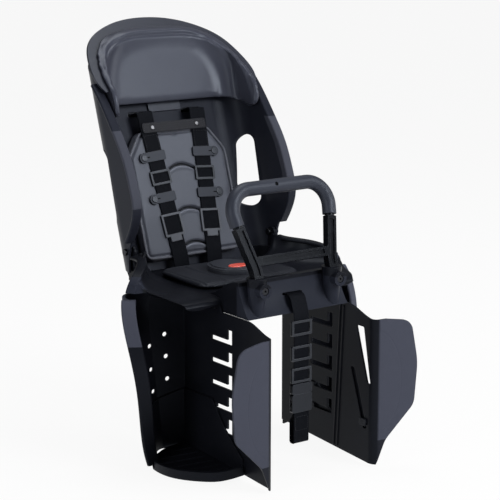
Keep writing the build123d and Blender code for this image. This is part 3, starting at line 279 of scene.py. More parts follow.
def cushion(name, low, high, rough, grain, depth, sheen=0.08, lines=None):
    """Soft cover: fine pebble grain, sheen and gentle colour drift.

    lines is a function giving masks of the painted shade in its channels and of the painted highlight on
    the roll just below them."""
    finish = Finish(name)
    spot, x, y, z = finish.place()
    cells = {"Vector": spot, "Scale": 1 / grain, "Smoothness": 0.6}
    pebble = finish.node("ShaderNodeTexVoronoi", {"feature": "SMOOTH_F1"}, cells)["Distance"]
    drift = finish.noise(spot, 0.05, 3.0, 0.6)
    speck = finish.noise(spot, 0.0009, 2.0, 0.5)
    colour = finish.mix((drift * 0.7 + speck * 0.3).clamp(), tone(*low), tone(*high))
    if lines:
        shaded, channel_highlight = lines(x, y, z)
        # Painted highlight on the roll just below each channel, then painted shade in the channel itself.
        colour = finish.mix(channel_highlight, colour, tone(*[2.0 * c for c in high]))
        colour = finish.mix(shaded, colour, tone(*[0.05 * c for c in low]))
    shine = rough + (drift - 0.5) * 0.12 + (speck - 0.5) * 0.08
    normal = finish.bump(pebble + speck * 0.5, depth, 0.5)
    return finish.surface(
        Base_Color=colour, Roughness=shine, Normal=normal,
        Specular_IOR_Level=0.32, Specular_Tint=cool_gloss,
        Sheen_Weight=sheen, Sheen_Roughness=0.4,
    )


def pad_channels(x, y, z):
    """Masks of painted shade in the arched channels across the middle of the back pad, and of a painted
    highlight just below each.
    """
    up = (y - back_foot.y) * math.sin(lean) + (z - back_foot.z) * math.cos(lean)
    share = x / 0.030
    arch = 0.011 - share * share * 0.011
    shaded = channel_highlight = 0.0
    for height in pad_heights:
        away = up - arch - height * mm
        # Painted shade along each channel and a painted highlight on the roll just below it.
        shaded = (abs(away) < 0.0017) + shaded
        channel_highlight = (abs(away + 0.0044) < 0.0008) + channel_highlight
    inside = abs(x) < 0.034
    return (shaded * inside).clamp(), (channel_highlight * inside * 0.7).clamp()


def woven(name, low, high, rough):
    """Webbing: ribs along and picks across, read from the strap's own map in metres."""
    finish = Finish(name)
    map_ = finish.node("ShaderNodeUVMap", {"uv_map": "strap"})["UV"]
    parts = finish.node("ShaderNodeSeparateXYZ", None, {"Vector": map_})
    across, along = parts["X"], parts["Y"]
    ribs = (across * (2 * math.pi / 0.0026)).sine()
    picks = (along * (2 * math.pi / 0.0021) + ribs * 1.2).sine()
    yarn = (along * (2 * math.pi / 0.0007) + across * 2600.0).sine()
    height = picks * 0.55 + ribs * 0.35 + yarn * 0.10
    fuzz = finish.noise(finish.place()[0], 0.004, 4.0, 0.7)
    share = (0.45 + height * 0.35 + (fuzz - 0.5) * 0.5).clamp()
    colour = finish.mix(share, tone(*low), tone(*high))
    shine = rough - height * 0.10
    normal = finish.bump(height, 0.00022, 0.7)
    return finish.surface(
        Base_Color=colour, Roughness=shine, Normal=normal,
        Specular_IOR_Level=0.07, Specular_Tint=cool_gloss,
    )


def leather(name, low, high):
    """Soft black hide with creases."""
    finish = Finish(name)
    spot = finish.place()[0]
    cells = {"Vector": spot, "Scale": 900.0}
    edge = finish.node("ShaderNodeTexVoronoi", {"feature": "DISTANCE_TO_EDGE"}, cells)["Distance"]
    crease = (edge * 4.0).clamp()
    drift = finish.noise(spot, 0.02, 3.0, 0.6)
    colour = finish.mix((crease * 0.6 + drift * 0.4).clamp(), tone(*low), tone(*high))
    normal = finish.bump(crease, 0.00012, 0.6)
    shine = 0.52 - crease * 0.10 + drift * 0.08
    return finish.surface(Base_Color=colour, Roughness=shine, Normal=normal, Specular_IOR_Level=0.16)


def plated(name, base, rough, spread):
    """Steel with drawn lines, a dulled finish and a painted highlight along its edges."""
    finish = Finish(name)
    spot = finish.place()[0]
    stretched = finish.node("ShaderNodeMapping", None, {"Vector": spot, "Scale": (1, 1, 14)})["Vector"]
    lines = finish.noise(stretched, 0.003, 3.0, 0.6)
    blot = finish.noise(spot, 0.006, 3.0, 0.6)
    soft, edge = finish.edge(0.0005)
    # Lighter at the edges: a painted highlight round the rims, mixed with random blotches.
    colour = finish.mix((blot * 0.6 + edge * 0.5).clamp(), tone(*[0.6 * c for c in base]), tone(*base))
    normal = finish.bump(lines, 0.00003, 0.4, soft)
    shine = rough + (blot - 0.5) * spread
    return finish.surface(Base_Color=colour, Roughness=shine, Metallic=1.0, Normal=normal)


def sewing_thread(name, low, high):
    """Thread with the slant of its twist."""
    finish = Finish(name)
    spot = finish.place()[0]
    waves = {"Vector": spot, "Scale": 900.0, "Distortion": 0.5}
    twist = finish.node("ShaderNodeTexWave", {"bands_direction": "DIAGONAL"}, waves)["Fac"]
    colour = finish.mix(twist, tone(*low), tone(*high))
    normal = finish.bump(twist, 0.0001, 0.6)
    return finish.surface(Base_Color=colour, Roughness=0.62 + twist * 0.1, Normal=normal)


shell_black = moulded(
    "shell_black", (0.0130, 0.0144, 0.0215), (0.0205, 0.0226, 0.0330), 0.36, spec=0.10, zone=wing_panel,
)
base_black = moulded(
    "base_black", (0.0050, 0.0055, 0.0080), (0.0085, 0.0093, 0.0134), 0.34, spec=0.11, zone=apron_panel,
)
guard_black = moulded(
    "guard_black", (0.0050, 0.0055, 0.0080), (0.0085, 0.0093, 0.0134), 0.40, spec=0.10, zone=flap_panel,
)
hood_black = moulded("hood_black", (0.022, 0.0238, 0.034), (0.031, 0.0335, 0.047), 0.34, spec=0.26)
plate_black = moulded(
    "plate_black", (0.005, 0.0055, 0.0082), (0.009, 0.0098, 0.0142), 0.46, grain=0.0010, depth=0.0001,
    spec=0.11,
)
# The light edge tones below paint highlight lines along the edges; the slit finish keeps its edges dark.
frame_black = moulded(
    "frame_black", (0.0025, 0.0028, 0.0040), (0.0045, 0.0050, 0.0070), 0.26, depth=0.00001,
    painted_edge_tone=(0.17, 0.18, 0.21), spec=0.14, crisp=0.80, edge_size=0.0004,
)
# Near-black finish of the flat pieces that paint the shade inside the keeper slits and the grip vent.
hole_shade_black = moulded(
    "hole_shade_black", (0.0008, 0.0009, 0.0012), (0.0015, 0.0017, 0.0022), 0.6,
    painted_edge_tone=(0.002, 0.0022, 0.003), spec=0.05,
)
fitting_black = moulded(
    "fitting_black", (0.009, 0.0098, 0.013), (0.015, 0.0162, 0.021), 0.36, grain=0.0005, depth=0.00004,
    painted_edge_tone=(0.13, 0.14, 0.165), spec=0.3,
)
adjuster_black = moulded(
    "adjuster_black", (0.012, 0.013, 0.0165), (0.020, 0.0215, 0.027), 0.36, grain=0.0005, depth=0.00003,
    painted_edge_tone=(0.17, 0.18, 0.20), spec=0.4, crisp=0.6,
)
tongue_grey = moulded(
    "tongue_grey", (0.050, 0.053, 0.064), (0.072, 0.076, 0.090), 0.38, grain=0.0005, depth=0.00003,
    painted_edge_tone=(0.20, 0.21, 0.24), spec=0.4, crisp=0.5,
)
snap_black = moulded(
    "snap_black", (0.014, 0.0152, 0.020), (0.024, 0.026, 0.034), 0.28, grain=0.0005, depth=0.00003,
    painted_edge_tone=(0.15, 0.16, 0.18), spec=0.45, crisp=0.7,
)
keeper_black = moulded(
    "keeper_black", (0.022, 0.024, 0.032), (0.033, 0.036, 0.047), 0.48, grain=0.0006,
    painted_edge_tone=(0.09, 0.095, 0.11), spec=0.25,
)
buckle_black = moulded(
    "buckle_black", (0.022, 0.024, 0.031), (0.034, 0.037, 0.047), 0.40, grain=0.0005,
    painted_edge_tone=(0.22, 0.23, 0.26), spec=0.3,
)
button_red = moulded(
    "button_red", (0.74, 0.090, 0.060), (0.84, 0.130, 0.090), 0.20, grain=0.0008, depth=0.00001,
    painted_edge_tone=(0.90, 0.34, 0.27), spec=0.5,
)
grip_grey = cushion(
    "grip_grey", (0.020, 0.0225, 0.033), (0.031, 0.0346, 0.049), 0.44, 0.0009, 0.00008, sheen=0.03,
)
head_cover = cushion(
    "head_cover", (0.034, 0.0368, 0.053), (0.047, 0.0507, 0.071), 0.34, 0.0011, 0.00006, sheen=0.03,
)
pad_cover = cushion(
    "pad_cover", (0.058, 0.063, 0.083), (0.090, 0.097, 0.121), 0.46, 0.0012, 0.00008,
    lines=pad_channels,
)
seat_cover = cushion(
    "seat_cover", (0.0055, 0.0062, 0.0100), (0.0095, 0.0107, 0.0165), 0.52, 0.0012, 0.00008, sheen=0.01,
)
piping_cover = cushion(
    "piping_cover", (0.070, 0.074, 0.092), (0.108, 0.113, 0.137), 0.42, 0.0008, 0.00006,
)
strap_web = woven("strap_web", (0.0012, 0.0014, 0.0021), (0.0080, 0.0089, 0.0130), 0.66)
yoke_hide = leather("yoke_hide", (0.005, 0.0056, 0.008), (0.020, 0.0218, 0.030))
bright_steel = plated("bright_steel", (0.56, 0.56, 0.58), 0.32, 0.2)
dark_steel = plated("dark_steel", (0.055, 0.057, 0.065), 0.38, 0.2)
rivet_steel = plated("rivet_steel", (0.20, 0.205, 0.22), 0.34, 0.2)
strap_thread = sewing_thread("strap_thread", (0.010, 0.011, 0.0145), (0.038, 0.041, 0.052))
rubber_black = moulded(
    "rubber_black", (0.008, 0.0087, 0.0115), (0.015, 0.0162, 0.0215), 0.55, grain=0.0012, depth=0.0001,
    spec=0.2,
)

cad_finish = {
    "back_shell": shell_black, "seat_base": base_black,
    "leg_guard_left": guard_black, "leg_guard_right": guard_black,
    "footplate_left": plate_black, "footplate_right": plate_black,
    "foot_strap_left": rubber_black, "foot_strap_right": rubber_black,
    "headrest_shell": hood_black, "headrest_slider": fitting_black,
    "grip_frame": frame_black, "grip_cover": grip_grey,
    "strap_keepers": keeper_black, "strap_adjusters": adjuster_black,
    "buckle_tongue_left": tongue_grey, "buckle_tongue_right": tongue_grey,
    "buckle_body": buckle_black, "buckle_cover": buckle_black, "buckle_button": button_red,
    "safety_adjusters": adjuster_black,
    "safety_buckle_male": fitting_black, "safety_buckle_female": fitting_black,
    "harness_stops": fitting_black, "keeper_snaps": snap_black, "yoke_rivets": rivet_steel,
    "buckle_spring": bright_steel,
}
for name, thing in nodes.items():
    material = cad_finish.get(name, dark_steel)
    if not thing.material_slots:
        thing.data.materials.append(material)
    for place in thing.material_slots:
        place.material = material


# ---------------------------------------------------------------- making pieces

def piece_from(name, shaped, material, body, smooth=True):
    """Turns a bmesh into a finished piece that rides on a body."""
    mesh = bpy.data.meshes.new(name)
    shaped.to_mesh(mesh)
    shaped.free()
    for face in mesh.polygons:
        face.use_smooth = smooth
    mesh.materials.append(material)
    thing = bpy.data.objects.new(name, mesh)
    scene.collection.objects.link(thing)
    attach(thing, body)
    return thing


def round_off(shaped, edges, size, segments):
    """Rounds edges of a bmesh and gives the verts of the new faces."""
    return bmesh.ops.bevel(
        shaped, geom=edges, offset=size, offset_type="OFFSET", segments=segments, profile=0.5,
        affect="EDGES", material=-1,
    )["verts"]


def eased(points, radius, steps=6):
    """Path with its corners eased to a radius."""
    path = [points[0]]
    for before, corner, after in zip(points, points[1:], points[2:]):
        near = corner + (before - corner).normalized() * min(radius, (before - corner).length * 0.49)
        far = corner + (after - corner).normalized() * min(radius, (after - corner).length * 0.49)
        for i in range(steps + 1):
            t = i / steps
            path.append(near.lerp(corner, t).lerp(corner.lerp(far, t), t))
    path.append(points[-1])
    return path


def divided(path, longest):
    """Path with its long runs divided."""
    out = [path[0]]
    for a, b in zip(path, path[1:]):
        count = max(1, math.ceil((b - a).length / longest))
        out.extend(a.lerp(b, i / count) for i in range(1, count + 1))
    return out


def web_frames(path, across):
    """Placement of a strap's section at each point of its path."""
    frames = []
    for i, point in enumerate(path):
        ahead = path[min(i + 1, len(path) - 1)] - path[max(i - 1, 0)]
        run = ahead.normalized()
        side = (across - run * across.dot(run)).normalized()
        face = side.cross(run)
        turn = Matrix((side, face, run)).transposed().to_4x4()
        frames.append(Matrix.Translation(point) @ turn)
    return frames


def add_web(shaped, path, across, width, thick):
    """Draws a strap with rolled selvedges along a path, and maps it in metres."""
    half, lift = width / 2, thick / 2
    upper = [
        (-half, 0), (-half + 0.5 * mm, lift * 0.9), (-half + 1.3 * mm, lift),
        (-half + 2.4 * mm, lift * 0.78), (0, lift * 0.82),
    ]
    upper = upper + [(-u, v) for u, v in reversed(upper[:-1])]
    outline = upper + [(u, -v) for u, v in reversed(upper[1:-1])]
    far = shaped.verts.layers.float.get("far") or shaped.verts.layers.float.new("far")
    wide = shaped.verts.layers.float.get("wide") or shaped.verts.layers.float.new("wide")
    frames = web_frames(path, across)
    ring = []
    for u, v in outline:
        vert = shaped.verts.new(frames[0] @ Vector((u, v, 0)))
        vert[wide] = u
        ring.append(vert)
    edges = [shaped.edges.new((a, b)) for a, b in zip(ring, ring[1:] + ring[:1])]
    first = list(edges)
    along = 0.0
    for i in range(1, len(path)):
        along += (path[i] - path[i - 1]).length
        made = bmesh.ops.extrude_edge_only(shaped, edges=edges)["geom"]
        verts = [g for g in made if isinstance(g, bmesh.types.BMVert)]
        edges = [g for g in made if isinstance(g, bmesh.types.BMEdge) and all(v in verts for v in g.verts)]
        bmesh.ops.transform(shaped, matrix=frames[i] @ frames[i - 1].inverted(), verts=verts)
        for vert in verts:
            vert[far] = along
    bmesh.ops.contextual_create(shaped, geom=first)
    bmesh.ops.contextual_create(shaped, geom=edges)


def webbing(name, runs, width, thick, replaced):
    """One strap made of runs, each a path, the way across it and its thickness."""
    shaped = bmesh.new()
    for path, across, stack in runs:
        add_web(shaped, path, across, width, stack or thick)
    bmesh.ops.recalc_face_normals(shaped, faces=shaped.faces)
    far, wide = shaped.verts.layers.float["far"], shaped.verts.layers.float["wide"]
    uv = shaped.loops.layers.uv.new("strap")
    for face in shaped.faces:
        for loop in face.loops:
            loop[uv].uv = (loop.vert[wide], loop.vert[far])
    thing = piece_from(name, shaped, strap_web, "seat")
    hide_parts(replaced)


def add_stitches(shaped, path, face, pitch=3.2, length=2.3, radius=0.42):
    """Row of stitches along a path, lying on a face with the given outward direction."""
    total = sum((b - a).length for a, b in zip(path, path[1:]))
    count = max(1, int(total / (pitch * mm)))
    for i in range(count):
        reach = (i + 0.5) * total / count
        for a, b in zip(path, path[1:]):
            if reach <= (b - a).length:
                break
            reach -= (b - a).length
        run = (b - a).normalized()
        centre = a + run * reach
        side = face.cross(run).normalized()
        turn = Matrix((run, side, face)).transposed().to_4x4()
        size = Matrix.Diagonal((length * mm / 2, radius * mm, radius * mm, 1))
        place = Matrix.Translation(centre) @ turn @ size
        bmesh.ops.create_icosphere(shaped, subdivisions=1, radius=1.0, matrix=place)


def stitching(name, rows):
    """Piece made of rows of stitches, each a path and the way its face looks."""
    shaped = bmesh.new()
    for path, face in rows:
        add_stitches(shaped, path, face)
    piece_from(name, shaped, strap_thread, "seat")


# ---------------------------------------------------------------- harness webbing

# Where the shoulder straps run on the backrest, in millimetres across, up and out of it.
strap_top_x, strap_top_up = 55, 266
strap_low_x, strap_low_up = 36, 14
strap_out = 21.6
strap_drop, strap_inward = strap_top_up - strap_low_up, strap_top_x - strap_low_x
floor_slot_y = 108
keeper_heights, keeper_face = (187, 114), 24.1
web_wide, safety_wide, web_thick, sewn_thick = 31.8 * mm, 30.8 * mm, 1.9 * mm, 7.2 * mm

wide_axis = Vector((1, 0, 0))
strap_rows = []
for side, hand in ((1, "left"), (-1, "right")):
    head = on_back(side * strap_top_x, strap_top_up, strap_out)
    lap = on_back(side * strap_low_x, strap_low_up, strap_out)
    down = (lap - head).normalized()
    across = back_out.cross(down).normalized()
    if across.x < 0:
        across.negate()
    knee = Vector((side * strap_low_x, floor_slot_y, 32)) * mm
    tail = Vector((side * strap_low_x, floor_slot_y, 14.6)) * mm
    knee = knee - across * (knee - head).dot(across)
    tail = tail - across * (tail - head).dot(across)
    behind = head - back_out * 30.2 * mm
    low = head + down * strap_drop * mm
    main = divided(eased([behind, head, low, knee, tail], 5 * mm), 6 * mm)
    sewn_top = [behind - back_out * 2.8 * mm, behind - back_out * 0.4 * mm, behind + back_out * 0.6 * mm]
    sewn_low = [Vector((side * strap_low_x, floor_slot_y, z)) * mm for z in (15.4, 14.0, 11.8)]
    folded = [behind + back_out * reach * mm for reach in (0.4, 2.4, 4.4)]
    runs = [
        (main, across, None), (folded, wide_axis, 5.8 * mm),
        (sewn_top, wide_axis, 8.4 * mm), (sewn_low, wide_axis, sewn_thick),
    ]
    webbing(f"shoulder_webbing_{hand}", runs, web_wide, web_thick, f"shoulder_strap_{hand}")
    lift = back_out * 1.0 * mm
    for offset in (-13, 13):
        start = head + down * 40 * mm + across * offset * mm + lift
        strap_rows.append(([start, start + down * 30 * mm], back_out))
    for far in (42, 70):
        start = head + down * far * mm - across * 12 * mm + lift
        strap_rows.append(([start, start + across * 24 * mm], back_out))

crotch_path = divided([Vector((0, 12, 16.2)) * mm, Vector((0, 12, 37.4)) * mm], 4 * mm)
crotch_low = [Vector((0, 12, z)) * mm for z in (16.0, 17.6, 19.4)]
crotch_high = [Vector((0, 12, z)) * mm for z in (37.7, 38.6, 39.5)]
webbing(
    "crotch_webbing",
    [
        (crotch_path, wide_axis, None),
        (crotch_low, wide_axis, sewn_thick), (crotch_high, wide_axis, sewn_thick),
    ],
    web_wide, web_thick, "crotch_strap",
)

safety_points = [(-152, 28), (-174, 28), (-186, -2), (-186, -124)]
safety_path = divided(eased([Vector((0, y, z)) * mm for y, z in safety_points], 8 * mm), 6 * mm)
safety_sewn = [Vector((0, y, 28)) * mm for y in (-148.2, -150, -151.8)]
webbing(
    "safety_webbing",
    [(safety_path, wide_axis, None), (safety_sewn, wide_axis, 11.4 * mm)],
    safety_wide, web_thick, "safety_strap",
)
loop_points = [(-187.2, -160), (-187.2, -219), (-176, -219), (-176, -180), (-184.8, -170), (-184.8, -160)]
loop_path = divided(eased([Vector((0, y, z)) * mm for y, z in loop_points], 4 * mm), 5 * mm)
webbing("safety_loop_webbing", [(loop_path, wide_axis, None)], safety_wide, web_thick, "safety_loop_strap")
front, loop_face = Vector((0, -1, 0)), -188.2
for x in (-12.5, 12.5):
    strap_rows.append(([Vector((x, loop_face, -175)) * mm, Vector((x, loop_face, -196)) * mm], front))
for z in (-174, -197):
    strap_rows.append(([Vector((-11, loop_face, z)) * mm, Vector((11, loop_face, z)) * mm], front))
stitching("strap_stitching", strap_rows)

# Keyhole slits in the strap keepers, beside their snaps: near-black bars on the keeper face, painted shade
# standing in for the open slits.
slits = bmesh.new()
for side in (1, -1):
    lean_across = Vector((strap_drop, 0, 0)) - back_up * side * strap_inward
    lean_across.normalize()
    for up in keeper_heights:
        strap_x = strap_low_x + strap_inward * (up - strap_low_up) / strap_drop
        middle = on_back(side * strap_x, up, keeper_face) + lean_across * side * 15.6 * mm
        turn = Matrix((lean_across, back_out.cross(lean_across), back_out)).transposed().to_4x4()
        bar = bmesh.ops.create_cube(slits, size=1.0)["verts"]
        bmesh.ops.scale(slits, vec=Vector((7.0, 1.7, 0.5)) * mm, verts=bar)
        ends = {e for v in bar for e in v.link_edges if abs((e.verts[0].co - e.verts[1].co).z) > 1e-5}
        round_ends = round_off(slits, list(ends), 0.8 * mm, 4)
        whole = list({v for v in bar if v.is_valid} | set(round_ends))
        bmesh.ops.transform(slits, matrix=Matrix.Translation(middle) @ turn, verts=whole)
piece_from("keeper_slit_shades", slits, hole_shade_black, "seat", smooth=False)

# Yoke: hide strip with pressed edges, sewn round.
yoke_up, yoke_middle, yoke_face = 237, 23.75, 24.7
yoke = bmesh.new()
bmesh.ops.create_cube(yoke, size=1.0)
bmesh.ops.scale(yoke, vec=Vector((131.6, 17.6, 1.6)) * mm, verts=yoke.verts)
long_edges = [e for e in yoke.edges if abs((e.verts[0].co - e.verts[1].co).z) > 1e-5]
round_off(yoke, long_edges, 4 * mm, 5)
rims = [e for e in yoke.edges if e.is_manifold and e.calc_face_angle(0) > 1.2]
round_off(yoke, rims, 0.5 * mm, 2)
turn = Matrix((wide_axis, back_up, back_out)).transposed().to_4x4()
yoke_seat = Matrix.Translation(on_back(0, yoke_up, yoke_middle))
bmesh.ops.transform(yoke, matrix=yoke_seat @ turn, verts=yoke.verts)
yoke_strip = piece_from("yoke_strip", yoke, yoke_hide, "seat", smooth=False)
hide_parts("shoulder_yoke")
yoke_rows = []
for up in (230.8, 243.2):
    yoke_rows.append(([on_back(-60, up, yoke_face), on_back(60, up, yoke_face)], back_out))
for x in (-62.4, 62.4):
    yoke_rows.append(([on_back(x, 232, yoke_face), on_back(x, 242, yoke_face)], back_out))
stitching("yoke_stitching", yoke_rows)


# ---------------------------------------------------------------- pads

def applied(thing):
    """Mesh of an object with its modifiers applied."""
    graph = bpy.context.evaluated_depsgraph_get()
    graph.update()
    return bpy.data.meshes.new_from_object(thing.evaluated_get(graph))


def swap_mesh(thing, mesh):
    """Gives an object a new mesh in place of its old one and its modifiers."""
    old = thing.data
    thing.modifiers.clear()
    thing.data = mesh
    bpy.data.meshes.remove(old)


def stuffed(name, node, voxel, shrink, swell, resting, carve, material, body):
    """Pad blown up from a slightly smaller copy of its solid.

    resting tells which points lie against something, and carve gives how far the sewing moves a point."""
    thing = bpy.data.objects.new(name, nodes[node].data.copy())
    scene.collection.objects.link(thing)
    solid = bmesh.new()
    solid.from_mesh(thing.data)
    bmesh.ops.remove_doubles(solid, verts=solid.verts, dist=0.00002)
    solid.to_mesh(thing.data)
    solid.free()
    fine = thing.modifiers.new("even", "REMESH")
    fine.mode = "VOXEL"
    fine.voxel_size = voxel
    swap_mesh(thing, applied(thing))
    drawn = bmesh.new()
    drawn.from_mesh(thing.data)
    for _ in range(3):
        bmesh.ops.smooth_vert(
            drawn, verts=drawn.verts, factor=0.5, use_axis_x=True, use_axis_y=True, use_axis_z=True,
        )
    drawn.normal_update()
    for vert, normal in [(v, v.normal.copy()) for v in drawn.verts]:
        vert.co -= normal * shrink
    drawn.to_mesh(thing.data)
    drawn.free()
    start = [v.co.copy() for v in thing.data.vertices]
    facing = [v.normal.copy() for v in thing.data.vertices]
    cloth = thing.modifiers.new("cover", "CLOTH")
    cloth.settings.quality = 5
    cloth.settings.mass = 0.3
    cloth.settings.tension_stiffness = 12
    cloth.settings.compression_stiffness = 12
    cloth.settings.bending_stiffness = 2.0
    cloth.settings.use_pressure = True
    cloth.settings.uniform_pressure_force = 4.0
    cloth.settings.effector_weights.gravity = 0
    for step in range(1, 21):
        scene.frame_set(step)
    swap_mesh(thing, applied(thing))
    for vert, home, normal in zip(thing.data.vertices, start, facing):
        move = vert.co - home
        most = shrink + (0.0 if resting(home, normal) else swell)
        if move.length > most:
            vert.co = home + move * (most / move.length)
    scene.frame_set(1)
    finer = thing.modifiers.new("finer", "SUBSURF")
    finer.levels = 1
    finer.render_levels = 1
    swap_mesh(thing, applied(thing))
    sewn = bmesh.new()
    sewn.from_mesh(thing.data)
    sewn.normal_update()
    for vert, normal in [(v, v.normal.copy()) for v in sewn.verts]:
        vert.co += carve(vert.co, normal)
    sewn.to_mesh(thing.data)
    sewn.free()
    for face in thing.data.polygons:
        face.use_smooth = True
    thing.data.materials.clear()
    thing.data.materials.append(material)
    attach(thing, body)
    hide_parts(node)


back_outline = [(-107, 4), (107, 4), (107, 190), (75, 236), (-75, 236), (-107, 190)]


def inset(outline, x, up):
    """How far inside a convex outline a point lies, in millimetres."""
    least = 1000.0
    for (ax, ay), (bx, by) in zip(outline, outline[1:] + outline[:1]):
        size = math.hypot(bx - ax, by - ay)
        least = min(least, ((bx - ax) * (up - ay) - (by - ay) * (x - ax)) / size)
    return least


def dent(away, half):
    """Profile of a sewn channel: 1 on its line and 0 past its half width."""
    return max(0.0, 1.0 - (away / half) ** 2) ** 2


def back_rest(point, normal):
    """Whether a point of the back pad lies against the shell."""
    return normal.dot(back_out) < 0.2


def back_seams(point, normal):
    """Sews the back pad: a channel inside its edge and arched channels across its middle."""
    x, up, _ = back_place(point)
    if normal.dot(back_out) < 0.2:
        return Vector((0, 0, 0))
    depth = 2.2 * dent(inset(back_outline, x, up) - 11, 3.5)
    for height in pad_heights:
        arch = height + 11 * (1 - (x / 30) ** 2) if abs(x) < 36 else height - 6
        fade = min(1.0, max(0.0, (36 - abs(x)) / 5))
        depth += fade * 6.0 * dent(up - arch, 4.0)
        depth -= fade * 1.0 * dent(up - arch + 6.5, 4.0)
    return back_out * (-depth * mm)


stuffed(
    "back_cushion", "back_pad", 0.0035, 0.0016, 0.0012, back_rest, back_seams,
    pad_cover, "seat",
)

seat_outline = [(-104, -62), (104, -62), (104, 92), (-104, 92)]


def seat_rest(point, normal):
    """Whether a point of the seat pad lies on the bowl."""
    return normal.z < 0.2


def seat_seams(point, normal):
    """Sews the seat pad: a channel inside its edge and two along it."""
    if normal.z < 0.2:
        return Vector((0, 0, 0))
    x, y = point.x / mm, point.y / mm
    depth = 1.6 * dent(inset(seat_outline, x, y) - 11, 3.5)
    for line in (-52, 52):
        depth += 1.8 * dent(x - line, 4.0) * min(1.0, max(0.0, (inset(seat_outline, x, y) - 11) / 6))
    return Vector((0, 0, -depth * mm))


stuffed(
    "seat_cushion", "seat_pad", 0.0035, 0.0012, 0.0, seat_rest, seat_seams,
    seat_cover, "seat",
)


def head_rest(point, normal):
    """Whether a point of the headrest pad lies against the hood."""
    x, up, _ = back_place(point)
    away = Vector((x, up - 300, 0))
    flat = Vector((normal.x, normal.dot(back_up), 0))
    return normal.dot(back_out) < 0.3 and flat.dot(away) > -0.2 * away.length


def eased_share(value, low, high):
    """Share that runs smoothly from 0 at one value to 1 at another."""
    t = min(1.0, max(0.0, (value - low) / (high - low)))
    return t * t * (3 - 2 * t)


rim_foot, rim_half, rim_tall, rim_slope = 280, 150, 144, 0.62


def rim_depth(x, up):
    """How far inside the headrest's rounded outline a point lies, in millimetres."""
    rise = max(0.0, up - rim_foot)
    reach = ((abs(x) / rim_half) ** 3 + (rise / rim_tall) ** 3) ** (1 / 3)
    return math.hypot(x, rise) * (1 / max(reach, 0.05) - 1)


def head_seams(point, normal):
    """Draws the rim narrower at the crown, rolls it, and sews a groove along its inner side."""
    x, up, _ = back_place(point)
    deep = rim_depth(x, up)
    crown = eased_share(-abs(x), -120, -60)
    front = eased_share(normal.dot(back_out), 0.0, 0.45)
    sunk = -6 * max(0.0, 1 - max(deep, 0.0) / 12) ** 1.5 * crown
    drawn_up = 9 * math.exp(-((deep - 29) / 15) ** 2) * crown * front
    move = back_up * (sunk + drawn_up) - back_out * rim_slope * sunk
    drawn = deep - sunk - drawn_up
    middle = 7 + 6 * crown
    roll = 2.0 * dent(drawn - middle, 11)
    groove = 2.8 * dent(drawn - middle - 11, 5.5)
    return (move + normal * (roll - groove) * front) * mm


stuffed(
    "head_cushion", "headrest_pad", 0.004, 0.0014, 0.0012, head_rest, head_seams,
    head_cover, "headrest",
)


def piping(name, outline, lift, radius, material, body):
    """Closed cord of piping round a pad, through points eased at the corners."""
    line = bpy.data.curves.new(name, "CURVE")
    line.dimensions = "3D"
    line.bevel_depth = radius
    line.bevel_resolution = 3
    spline = line.splines.new("NURBS")
    spline.points.add(len(outline) - 1)
    for knot, place in zip(spline.points, outline):
        knot.co = (*lift(*place), 1)
    spline.use_cyclic_u = True
    spline.order_u = 3
    spline.resolution_u = 6
    bent = bpy.data.objects.new(name, line)
    scene.collection.objects.link(bent)
    mesh = applied(bent)
    bpy.data.objects.remove(bent)
    mesh.materials.clear()
    mesh.materials.append(material)
    for face in mesh.polygons:
        face.use_smooth = True
    thing = bpy.data.objects.new(name, mesh)
    scene.collection.objects.link(thing)
    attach(thing, body)


piping_knots = [
    (-60, 11), (0, 11), (60, 11), (84, 11), (100, 14), (100, 40), (100, 100), (100, 160), (100, 184),
    (96, 194), (76, 222), (70, 229), (56, 229), (0, 229), (-56, 229), (-70, 229), (-76, 222), (-96, 194),
    (-100, 184), (-100, 160), (-100, 100), (-100, 40), (-100, 14), (-84, 11),
]
piping_out = 17.2
piping(
    "back_piping", piping_knots, lambda x, up: on_back(x, up, piping_out), 2.3 * mm,
    piping_cover, "seat",
)


# ---------------------------------------------------------------- small fittings

# Gussets that close the notch between the bowl and its rolled rim at the hips.
gussets = bmesh.new()
for side in (1, -1):
    corners = [(213, -20, 28), (212, -15, 43), (203, -22, 44), (197, -38, 32)]
    plate = gussets.faces.new([gussets.verts.new(Vector((side * x, y, z)) * mm) for x, y, z in corners])
    made = bmesh.ops.extrude_face_region(gussets, geom=[plate], use_keep_orig=True)["geom"]
    inner = [g for g in made if isinstance(g, bmesh.types.BMVert)]
    bmesh.ops.translate(gussets, vec=Vector((-side * 2.4, 2.6, -1.0)) * mm, verts=inner)
bmesh.ops.recalc_face_normals(gussets, faces=gussets.faces)
round_off(gussets, gussets.edges[:], 0.8 * mm, 3)
piece_from("hip_gussets", gussets, base_black, "seat", smooth=False)

# Vent hole with a rolled lip on the grip cover; a near-black disc across it is painted shade standing in
# for the open hole.
grip_lean = math.radians(20)
grip_up = Vector((0, math.sin(grip_lean), math.cos(grip_lean)))
grip_axis = Vector((0, -168, 64)) * mm + grip_up * 143 * mm
vent_out = Vector((0, -0.88, 0.47)).normalized()
vent = bmesh.new()
profile = [(0.0, 0.05), (2.0, 0.05), (2.4, 0.35), (2.8, 0.45), (3.2, 0.1), (3.2, -1.0)]
points = [vent.verts.new((r * mm, 0, h * mm)) for r, h in profile]
lines = [vent.edges.new(pair) for pair in zip(points, points[1:])]
bmesh.ops.spin(
    vent, geom=points + lines, cent=(0, 0, 0), axis=(0, 0, 1), angle=2 * math.pi, steps=20, use_merge=True,
)
bmesh.ops.remove_doubles(vent, verts=vent.verts, dist=0.00001)
bmesh.ops.recalc_face_normals(vent, faces=vent.faces)
spin_turn = vent_out.to_track_quat("Z", "Y").to_matrix().to_4x4()
vent_seat = grip_axis + Vector((-8, 0, 0)) * mm + vent_out * 11.65 * mm
bmesh.ops.transform(vent, matrix=Matrix.Translation(vent_seat) @ spin_turn, verts=vent.verts)
piece_from("grip_vent", vent, hole_shade_black, "seat")


# ---------------------------------------------------------------- studio

